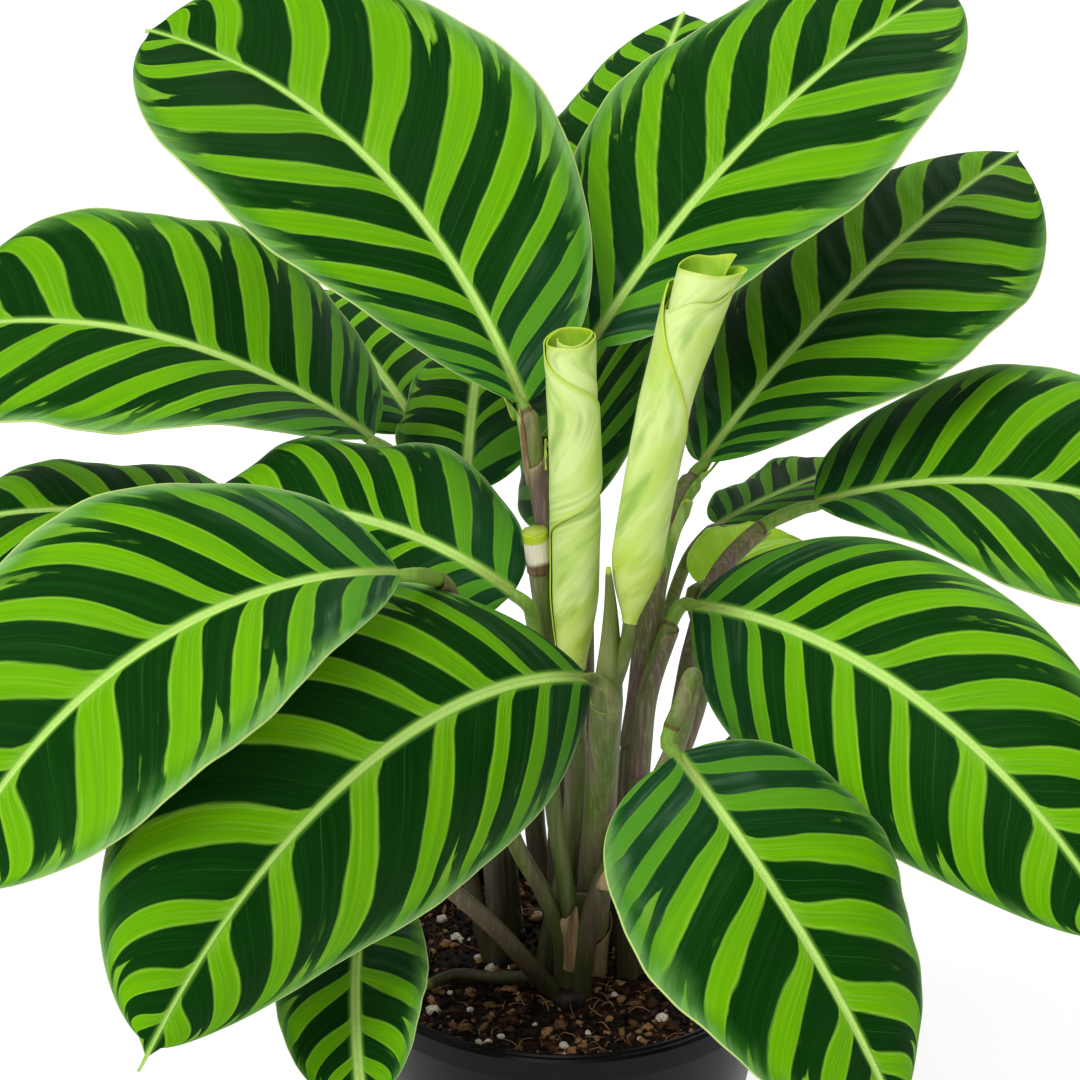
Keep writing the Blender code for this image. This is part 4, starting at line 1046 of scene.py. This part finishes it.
STALKS = {
    "shoot_front": [
        Stalk(((-2, -13, 112), (-6, -15, 121), (-15, -24, 138), (-25, -34, 157),
               (-41, -52, 184), (-54, -66, 203), (-65, -73, 208)), 3.8,
              blade="leaf_hanging_small", sheath=3.2, bare=26, plum=0.75),
        Stalk(((5, -13, 112), (9, -15.5, 150), (15, -20, 174), (25, -28, 200),
               (35, -37, 225), (42, -46, 249), (45, -56, 269), (45.5, -68, 283),
               (43.5, -80, 287), (40, -89, 281)), 4.4, blade="leaf_front_right",
              sheath=3.2, bare=12, plum=0.45),
        Stalk(((1, -12, 112), (3, -13, 140), (0, -15, 168), (-5, -17, 205), (-8, -20, 242),
               (-11, -22, 269), (-13, -26, 289)), 3.6, blade="leaf_left_inner",
              sheath=3.2, bare=30, plum=0.1),
        Stalk(((-1, -10, 112), (-2, -12, 144), (-9, -15, 165), (-19, -20, 188),
               (-29, -28, 225), (-33, -37, 262), (-36, -44, 280), (-38, -44, 290),
               (-41, -45, 301), (-44, -51, 312), (-49, -69, 323)), 3.5,
              blade="leaf_left_front", sheath=2.9, bare=40, plum=0.2),
        Stalk(((-3, -12, 120), (-13, -10, 123.5), (-27, -9, 122.5), (-43, -7, 123),
               (-55, -15, 122.5)), 2.6, thin=2.2, plum=0.7),
    ],
    "shoot_main": [
        Stalk(((10, 8, 112), (10, 4, 132), (11, -5, 162), (13, -16, 200), (14, -25, 232),
               (15, -31, 256)), 6.6, thin=6.2, plum=0.4),
        Stalk(((15, -31, 254), (16, -34, 277), (16, -36, 296), (15, -38, 313)), 6.2,
              thin=1.0, plum=0.1),
        Stalk(((13, -23, 232), (16, -33, 250), (17, -38, 261)), 3.2, blade="leaf_front_left",
              plum=0.0),
        Stalk(((15, -31, 256), (20, -34, 272)), 3.6, roll="rolled_leaf_right", plum=0.1),
    ],
    "shoot_tall": [
        Stalk(((-8, 6, 112), (-6, 7, 130), (1, 8, 165), (4, 5, 200), (3, -1, 236),
               (-2, -6, 274), (-7, -8, 312), (-12, -8, 342)), 4.6, blade="leaf_top_left",
              sheath=3.7, bare=3, plum=0.25),
        Stalk(((-8, 8, 112), (-4, 11, 132), (4, 14, 170), (7, 18, 217), (7, 22, 258),
               (6, 25, 306), (5, 26, 346)), 4.4, blade="leaf_top_right",
              sheath=3.8, bare=16),
        Stalk(((4, 0, 225), (-2, -9, 256), (-8, -14, 285), (-12, -17, 319)), 4.2, thin=4.2),
        Stalk(((4, 0, 225), (4, -13, 246)), 3.8, thin=3.4, roll="rolled_leaf_left"),
    ],
    "shoot_right": [
        Stalk(((27, 4, 112), (25, 4, 140), (24, 4, 175), (26, 5, 213), (29, 7, 238),
               (31, 10, 261), (34, 16, 284), (41, 27, 307)), 6.2, blade="leaf_right_upper",
              sheath=4.1, bare=8, plum=0.65),
        Stalk(((27, 3, 185), (29, -1, 224), (31, -2, 244), (36, 2, 260), (41, 9, 271)), 4.4,
              blade="leaf_right_front", sheath=3.4, bare=16),
    ],
    "shoot_far_right": [
        Stalk(((38, 20, 112), (38, 19, 150), (40, 16, 185), (43, 16, 210), (46, 19, 232),
               (50, 26, 252), (59, 38, 276), (76, 49, 291)), 4.6, blade="leaf_right_side",
              sheath=3.2, bare=24),
        Stalk(((42, 16, 200), (49, 19, 218), (54, 23, 238), (52, 30, 257)), 3.4,
              blade="leaf_young_right"),
    ],
    "shoot_back_right": [
        Stalk(((19, 27, 112), (22, 32, 150), (30, 45, 200), (39, 60, 240), (49, 82, 262)), 3.8,
              blade="leaf_back_right"),
        Stalk(((19, 27, 112), (20, 29, 125), (33, 42, 150), (54, 60, 174), (74, 73, 191)), 3.8,
              blade="leaf_low_back_right"),
    ],
    "shoot_back": [
        Stalk(((-2, 24, 112), (-3, 23, 150), (-3, 22, 200), (-2, 18, 240)), 5.0, plum=0.9),
        Stalk(((0, 26, 112), (3, 32, 160), (6, 42, 220), (8, 50, 280), (8, 57, 325),
               (8, 67, 346)), 4.2, blade="leaf_top_back", sheath=3.2, bare=24),
        Stalk(((-1, 27, 116), (-4, 30, 128), (-12, 39, 165), (-10, 49, 225),
               (1, 58, 266)), 5.0,
              blade="leaf_back_middle"),
    ],
    "shoot_left": [
        Stalk(((-27, 12, 112), (-28, 16, 150), (-34, 26, 210), (-43, 38, 270), (-53, 45, 305),
               (-62, 47, 319)), 4.4, blade="leaf_left_upper", sheath=3.4, bare=24),
        Stalk(((-27, 14, 116), (-26, 28, 170), (-32, 41, 230), (-37, 49, 275)), 3.8,
              blade="leaf_back_left"),
        Stalk(((-29, 12, 116), (-42, 22, 165), (-62, 36, 215), (-88, 52, 256)), 3.8,
              blade="leaf_left_back"),
    ],
    "shoot_back_left": [
        Stalk(((-20, 32, 112), (-25, 46, 170), (-36, 78, 230), (-48, 116, 272)), 3.8,
              blade="leaf_far_left"),
        Stalk(((-20, 32, 112), (-21, 33, 125), (-33, 42, 154), (-47, 52, 183)), 3.8,
              blade="leaf_low_back_left"),
    ],
}
# Feet of the shoots: place and radius at the bottom of each.
FEET = {
    "shoot_front": ((1, -13), 11.0), "shoot_main": ((10, 8), 8.0), "shoot_tall": ((-9, 7), 7.5),
    "shoot_right": ((27, 4), 7.0), "shoot_far_right": ((38, 20), 6.0),
    "shoot_back_right": ((19, 27), 6.0), "shoot_back": ((0, 26), 7.0),
    "shoot_left": ((-27, 12), 7.0), "shoot_back_left": ((-20, 32), 6.0),
}
BLADE = {blade.name: blade for blade in BLADES}
ROLL = {roll.name: roll for roll in ROLLS}
FOOT_BOTTOM = 97.0
FOOT_TOP = 121.5
STALK_LEAD = 6.0            # straight length in line with the blade
NECK_GROWTH = 0.4           # how much thicker a stalk's bare length is at its lower end
SWELLING = 0.35             # how much it swells in between
STALK_STEP = 2.4            # length of a stalk between two of its rings
STALK_SIDES = 18
CURVE_SAMPLES = 8
# Added to a stalk's chart, so that its skin knows a foot, and a stalk without a ring,
# whose top is cut or which carries its leaf directly.
CUT_MARK, LEAF_MARK, FOOT_MARK = 1000.0, 2000.0, 9000.0


def smooth_route(points):
    """Evenly spaced points on a smooth curve through the given ones."""
    points = [Vector(point) for point in points]
    ends = [2 * points[0] - points[1]] + points + [2 * points[-1] - points[-2]]
    dense = [points[0]]
    for before, start, stop, after in zip(ends, ends[1:], ends[2:], ends[3:]):
        reach = (stop - start).length
        lead_in = (stop - before).normalized() * reach
        lead_out = (after - start).normalized() * reach
        dense += [hermite(start, lead_in, stop, lead_out, step / CURVE_SAMPLES)
                  for step in range(1, CURVE_SAMPLES + 1)]
    reached = [0.0]
    for first, second in zip(dense, dense[1:]):
        reached.append(reached[-1] + (second - first).length)
    count = max(4, round(reached[-1] / STALK_STEP))
    route = []
    index = 0
    for step in range(count + 1):
        goal = reached[-1] * step / count
        while index < len(dense) - 2 and reached[index + 1] < goal:
            index += 1
        share = (goal - reached[index]) / (reached[index + 1] - reached[index])
        route.append(dense[index].lerp(dense[index + 1], min(1.0, share)))
    return route, reached[-1]


def stalk_line(stalk):
    """The stalk's smooth line, led in under the midrib of the blade that it carries."""
    route = list(stalk.route)
    tail = 0.0
    if stalk.blade:
        blade = BLADE[stalk.blade]
        base = Vector(blade.base)
        forward = along(*blade_direction(blade, 0.0))
        up = blade_frames(blade, [0.0])[0][2]
        route += [base - forward * STALK_LEAD - up * 0.5, base - up * 1.3,
                  base + forward * 7 - up * 1.9, base + forward * 14 - up * 1.8]
        tail = 14.0
    if stalk.roll:
        low, next_up = (Vector(point) for point in ROLL[stalk.roll].axis[:2])
        forward = (next_up - low).normalized()
        route += [low - forward * STALK_LEAD, low - forward, low + forward * 5]
        tail = 5.0
    points, length = smooth_route(route)
    return points, length, tail


def stalk_shape(stalk):
    """The stalk's line, and at each point its radius and its distance below the blade."""
    points, length, tail = stalk_line(stalk)
    last = len(points) - 1
    radii = []
    depths = []
    for index in range(last + 1):
        share = index / last
        depth = length * (1 - share) - tail
        radius = stalk.thick + (stalk.thin - stalk.thick) * share
        if stalk.sheath:
            low = (depth - stalk.bare) / (length - tail - stalk.bare)
            radius = stalk.thin + NECK_GROWTH * depth / stalk.bare
            radius += SWELLING * math.sin(math.pi * min(1.0, max(0.0, depth / stalk.bare)))
            if low > 0:
                radius = stalk.sheath + (stalk.thick - stalk.sheath) * low
        if stalk.blade and depth < 0:
            radius = stalk.thin * math.sqrt(max(0.0, 1 + depth / tail)) * 0.9
        radii.append(radius)
        depths.append(depth)
    return points, radii, depths


def add_stalk(body, chart, stalk):
    """Adds one stalk to its shoot: a tube with a swollen top, a ring and a sheath's crease."""
    points, radii, depths = stalk_shape(stalk)
    ring_at = stalk.bare or (-LEAF_MARK if stalk.blade or stalk.roll else -CUT_MARK)
    tops = [depth - ring_at for depth in [depths[0]] + depths + [depths[-1]]]
    spots = loft(body, ring_round(points, radii, STALK_SIDES))
    lay_chart(chart, {vertex: (tops[row], stalk.plum) for vertex, (side, row) in spots.items()})


def add_foot(body, chart, place_of, radius):
    """Adds the foot: a rounded, tapering stump that carries the stalks out of the soil."""
    shares = [(0.0, 1.0), (0.45, 1.0), (0.72, 0.93), (0.88, 0.84), (0.97, 0.7), (1.0, 0.5)]
    centre = [Vector((*place_of, FOOT_BOTTOM + (FOOT_TOP - FOOT_BOTTOM) * share))
              for share, wide in shares]
    radii = [radius * 0.94 * wide for share, wide in shares]
    spots = loft(body, ring_round(centre, radii, STALK_SIDES + 6))
    lay_chart(chart, {vertex: (FOOT_MARK, 0.5) for vertex in spots})


def stalk_paint():
    """Olive green with fine ribs, flushed plum, with a brown ring under the blade, and painted shade
    low down.
    """
    paint = Paint("stalk_skin", Specular_IOR_Level=0.3)
    top, plum = paint.chart("stem")
    height = paint.split(paint.place())[2]
    cloud = paint.grain(paint.upright(0.14), 9.0, detail=0.5)
    ribs = paint.grain(paint.upright(0.03), 1.5)
    freckles = paint.grain(paint.place(), 1.6)
    flush = (cloud + (plum - 0.5) * 0.42 + height.edge(290.0, 160.0) * 0.08).edge(0.38, 0.7)
    sheathed = paint.coats(tone(86, 106, 36), (cloud.edge(0.3, 0.7), tone(126, 136, 74)),
                           (flush * 0.8, tone(98, 75, 70)))
    cut_face = top.edge(CUT_MARK - 100, CUT_MARK - 50) * top.edge(CUT_MARK + 3, CUT_MARK + 1)
    colour = paint.coats(
        tone(108, 146, 44), (top.edge(-1.0, 1.0), sheathed),
        (ribs.edge(0.5, 0.72) * 0.3, tone(158, 160, 112)),
        (ribs.edge(0.46, 0.28) * 0.3, tone(60, 60, 30)),
        (freckles.edge(0.7, 0.76) * 0.2, tone(78, 54, 44)), (cut_face * 0.8, tone(176, 196, 70)),
        (abs(top).edge(1.3, 0.3) * 0.8, tone(84, 56, 28)),
        # Painted shade: the stalks darken from about 215 mm down towards the soil, where the leaves
        # above shade them.
        (height.edge(215.0, 124.0) * 0.68, tone(38, 34, 17)),
        (top.edge(FOOT_MARK - 1000, FOOT_MARK - 999), tone(30, 21, 14)))
    return paint.finish(colour, 0.42 + cloud * 0.15, ribs * 0.8 + cloud * 0.4, 0.25)


stalk_skin = stalk_paint()
for name, stalks in STALKS.items():
    shoot_body = bmesh.new()
    stem_chart = shoot_body.loops.layers.uv.new("stem")
    for stalk in stalks:
        add_stalk(shoot_body, stem_chart, stalk)
    add_foot(shoot_body, stem_chart, *FEET[name])
    put(name.replace("shoot", "stalks"), closed(shoot_body), [stalk_skin], "stalk", name)


# Leaf sheaths. The thin wings of older leaf stalks that clasp the next one: torn flaps
# under the blades, dry strips lower down, and a cut one that stands on its own.
@dataclass
class Sheath:
    """A strip that clasps a stalk: where, how far round, and how its top stands off."""
    shoot: str
    stalk: int
    start: float            # its top, as a distance below the blade
    stop: float             # its bottom
    facing: float           # where its middle faces, from above, 0 along +X
    wrap: float             # how far round it reaches
    flare: float            # how far its top stands off
    lean: float             # how much higher one side of its top is
    kind: float             # 0 dry, 1 plum and olive, 2 green with a yellow rim, 3 cut


SHEATHS = [
    Sheath("shoot_tall", 0, 21.0, 74.0, 320, 230, 0.9, 3.0, 1.0),
    Sheath("shoot_tall", 0, 3.0, 31.0, 205, 80, 0.3, 2.0, 0.0),
    Sheath("shoot_tall", 0, -8.0, 15.0, 172, 120, 5.0, 3.0, 2.0),
    Sheath("shoot_tall", 0, 14.0, 26.0, 345, 70, 1.6, 4.0, 2.0),
    Sheath("shoot_tall", 2, -1.6, 17.0, 270, 359, 0.0, 1.0, 3.0),
    Sheath("shoot_right", 0, -5.0, 24.0, 10, 150, 2.0, 3.0, 2.0),
    Sheath("shoot_right", 0, 20.0, 64.0, 350, 170, 1.8, -4.0, 2.0),
    Sheath("shoot_right", 0, 29.0, 120.0, 300, 250, 0.5, 5.0, 1.0),
    Sheath("shoot_right", 1, 18.0, 80.0, 330, 220, 0.5, 4.0, 1.0),
    Sheath("shoot_far_right", 0, 26.0, 110.0, 290, 220, 0.5, 5.0, 1.0),
    Sheath("shoot_front", 0, 24.0, 44.0, 300, 150, 1.6, 4.0, 0.0),
    Sheath("shoot_front", 1, 150.0, 172.0, 300, 140, 1.0, 3.0, 0.0),
    Sheath("shoot_front", 3, 44.0, 120.0, 250, 200, 0.5, 5.0, 1.0),
    Sheath("shoot_main", 0, 95.0, 130.0, 250, 240, 0.7, 6.0, 1.0),
    Sheath("shoot_main", 0, 122.0, 146.0, 310, 200, 1.6, 6.0, 0.0),
    Sheath("shoot_tall", 1, 180.0, 222.0, 250, 220, 0.9, 5.0, 1.0),
    Sheath("shoot_front", 2, 150.0, 176.0, 240, 190, 1.3, 5.0, 0.0),
]
SHEATH_THICK = 0.3
SHEATH_GAP = 0.25           # between a sheath and its stalk
FLAP_DROP = 7.0             # how much lower a green flap's sides are than its tip
TORN = (1.6, 0.8, 1.4, 0.3)     # how ragged the top of each kind is
SHEATH_ROWS = 26
SHEATH_COLUMNS = 22


def make_sheath(number, sheath, paint):
    """A curved strip laid on its stalk, ragged at the top, and given a thickness."""
    points, radii, depths = stalk_shape(STALKS[sheath.shoot][sheath.stalk])
    last = len(points) - 1
    facing = math.radians(sheath.facing)
    middle = Vector((math.cos(facing), math.sin(facing), 0.0))
    body = bmesh.new()
    strip = body.loops.layers.uv.new("strip")
    spots = {}
    for vertex, (column, row) in sheet(body, SHEATH_COLUMNS, SHEATH_ROWS).items():
        side, up = 2 * column / SHEATH_COLUMNS - 1, row / SHEATH_ROWS
        spots[vertex] = ((1 - up) * (sheath.stop - sheath.start), sheath.kind)
        torn = noise.noise(Vector((side * 3.0, number * 7.0, 0.0))) * TORN[int(sheath.kind)]
        if sheath.kind == 2.0:
            torn += FLAP_DROP * (1 - math.cos(math.pi / 2 * side))
        depth = sheath.stop + (sheath.start - sheath.stop - sheath.lean * side + torn) * up
        place_on = (depths[0] - depth) / (depths[0] - depths[-1]) * last
        place_on = min(last - 0.001, max(0.0, place_on))
        low = int(place_on)
        point = points[low].lerp(points[low + 1], place_on - low)
        radius = radii[low] + (radii[low + 1] - radii[low]) * (place_on - low)
        forward = (points[low + 1] - points[low]).normalized()
        out = (middle - forward * middle.dot(forward)).normalized()
        turn = math.radians(sheath.wrap / 2 * side * (0.75 + 0.25 * (1 - up)))
        frill = noise.noise(Vector((side * 3.0, up * 3.0, number * 5.0 + 2.0))) * up
        radius += (SHEATH_GAP + sheath.flare * up ** 3 * (0.6 + 0.4 * abs(side))
                   + frill * min(0.7, sheath.flare * 0.7))
        vertex.co = (point + (out * math.cos(turn) + forward.cross(out) * math.sin(turn))
                     * radius) * MM
    lay_chart(strip, spots)
    thicken(put(f"sheath_{number + 1}", body, [paint], "stalk"), SHEATH_THICK, 1.0)


def sheath_paint():
    """The four kinds of sheath, each with fine ribs that run up it."""
    paint = Paint("sheath_skin", Specular_IOR_Level=0.25)
    down, kind = paint.chart("strip")
    ribs = paint.grain(paint.upright(0.06), 1.1)
    cloud = paint.grain(paint.upright(0.06), 6.0, detail=1.0)
    dry = paint.coats(tone(178, 156, 112), (cloud.edge(0.4, 0.65), tone(112, 84, 56)))
    plum = paint.coats(tone(100, 104, 60), (cloud.edge(0.34, 0.66), tone(110, 90, 86)),
                       (down.edge(7.0, 0.0) * 0.6, tone(140, 128, 84)))
    green = paint.coats(tone(104, 150, 44), (cloud.edge(0.4, 0.65), tone(164, 196, 92)),
                        (down.edge(1.4, 0.3), tone(190, 200, 60)))
    cut = paint.coats(tone(178, 200, 24), (down.edge(5.0, 6.0), tone(236, 228, 204)),
                      ((down + cloud * 5.0).edge(16.0, 18.5), tone(96, 74, 44)))
    colour = paint.coats(
        dry, (kind.edge(0.4, 0.6), plum), (kind.edge(1.4, 1.6), green), (kind.edge(2.4, 2.6), cut),
        (ribs.edge(0.5, 0.68) * 0.25, tone(190, 184, 140)),
        (ribs.edge(0.46, 0.3) * 0.25, tone(70, 62, 36)))
    return paint.finish(colour, 0.5 + cloud * 0.15, ribs, 0.25)


sheath_skin = sheath_paint()
for number, sheath in enumerate(SHEATHS):
    make_sheath(number, sheath, sheath_skin)


# Studio. A pale floor that runs far back, soft light from both sides and above, and a
# camera that looks down on the plant as the photograph does.
FLOOR_HALF = 60.0
floor_body = bmesh.new()
bmesh.ops.create_grid(floor_body, x_segments=1, y_segments=1, size=FLOOR_HALF)
floor = show("studio_floor", floor_body)
paper = Paint("studio_paper", Emission_Color=(1.0, 1.0, 1.0, 1.0), Emission_Strength=0.66)
shade = paper.grain(paper.place(), 400.0)
paper.finish(paper.coats(tone(180, 180, 180), (shade, tone(184, 184, 184))), 0.9, 0.5, 0.1)
floor.data.materials.append(paper.material)
floor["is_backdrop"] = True

world = bpy.data.worlds.new("studio")
world.use_nodes = True
world.node_tree.nodes["Background"].inputs["Color"].default_value = (1.0, 1.0, 1.0, 1.0)
world.node_tree.nodes["Background"].inputs["Strength"].default_value = 0.48
bpy.context.scene.world = world
bpy.context.scene.view_settings.view_transform = "Standard"

# Lights: name, kind, place, what they aim at, size and power.
LIGHTS = [
    ("overhead", "SUN", (-0.6, -0.7, 2.2), (0.0, 0.0, 0.28), math.radians(50), 1.55),
    ("key_light", "AREA", (-0.9, -1.2, 1.5), (0.0, 0.0, 0.28), 0.8, 11.0),
    ("back_light", "AREA", (0.5, 1.3, 1.3), (0.0, 0.0, 0.32), 1.0, 9.0),
]
for name, kind, at, goal, size, power in LIGHTS:
    lamp = bpy.data.lights.new(name, kind)
    if kind == "SUN":
        lamp.angle = size
    else:
        lamp.size = size
    lamp.energy = power
    light = show(name, lamp)
    light.location = at
    light.rotation_mode = "QUATERNION"
    light.rotation_quaternion = (Vector(goal) - Vector(at)).to_track_quat("-Z", "Y")

lens = bpy.data.cameras.new("camera")
lens.lens = 115.0
lens.sensor_width = 36.0
camera = show("camera", lens)
camera.location = (-0.0100, -1.1922, 0.8260)
camera.rotation_euler = (math.radians(90.0 - 23.5), 0.0, 0.0)
bpy.context.scene.camera = camera

seen_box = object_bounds()
({"cad": [list(corner) for corner in cad_box],
           "visual": [list(corner) for corner in seen_box]})
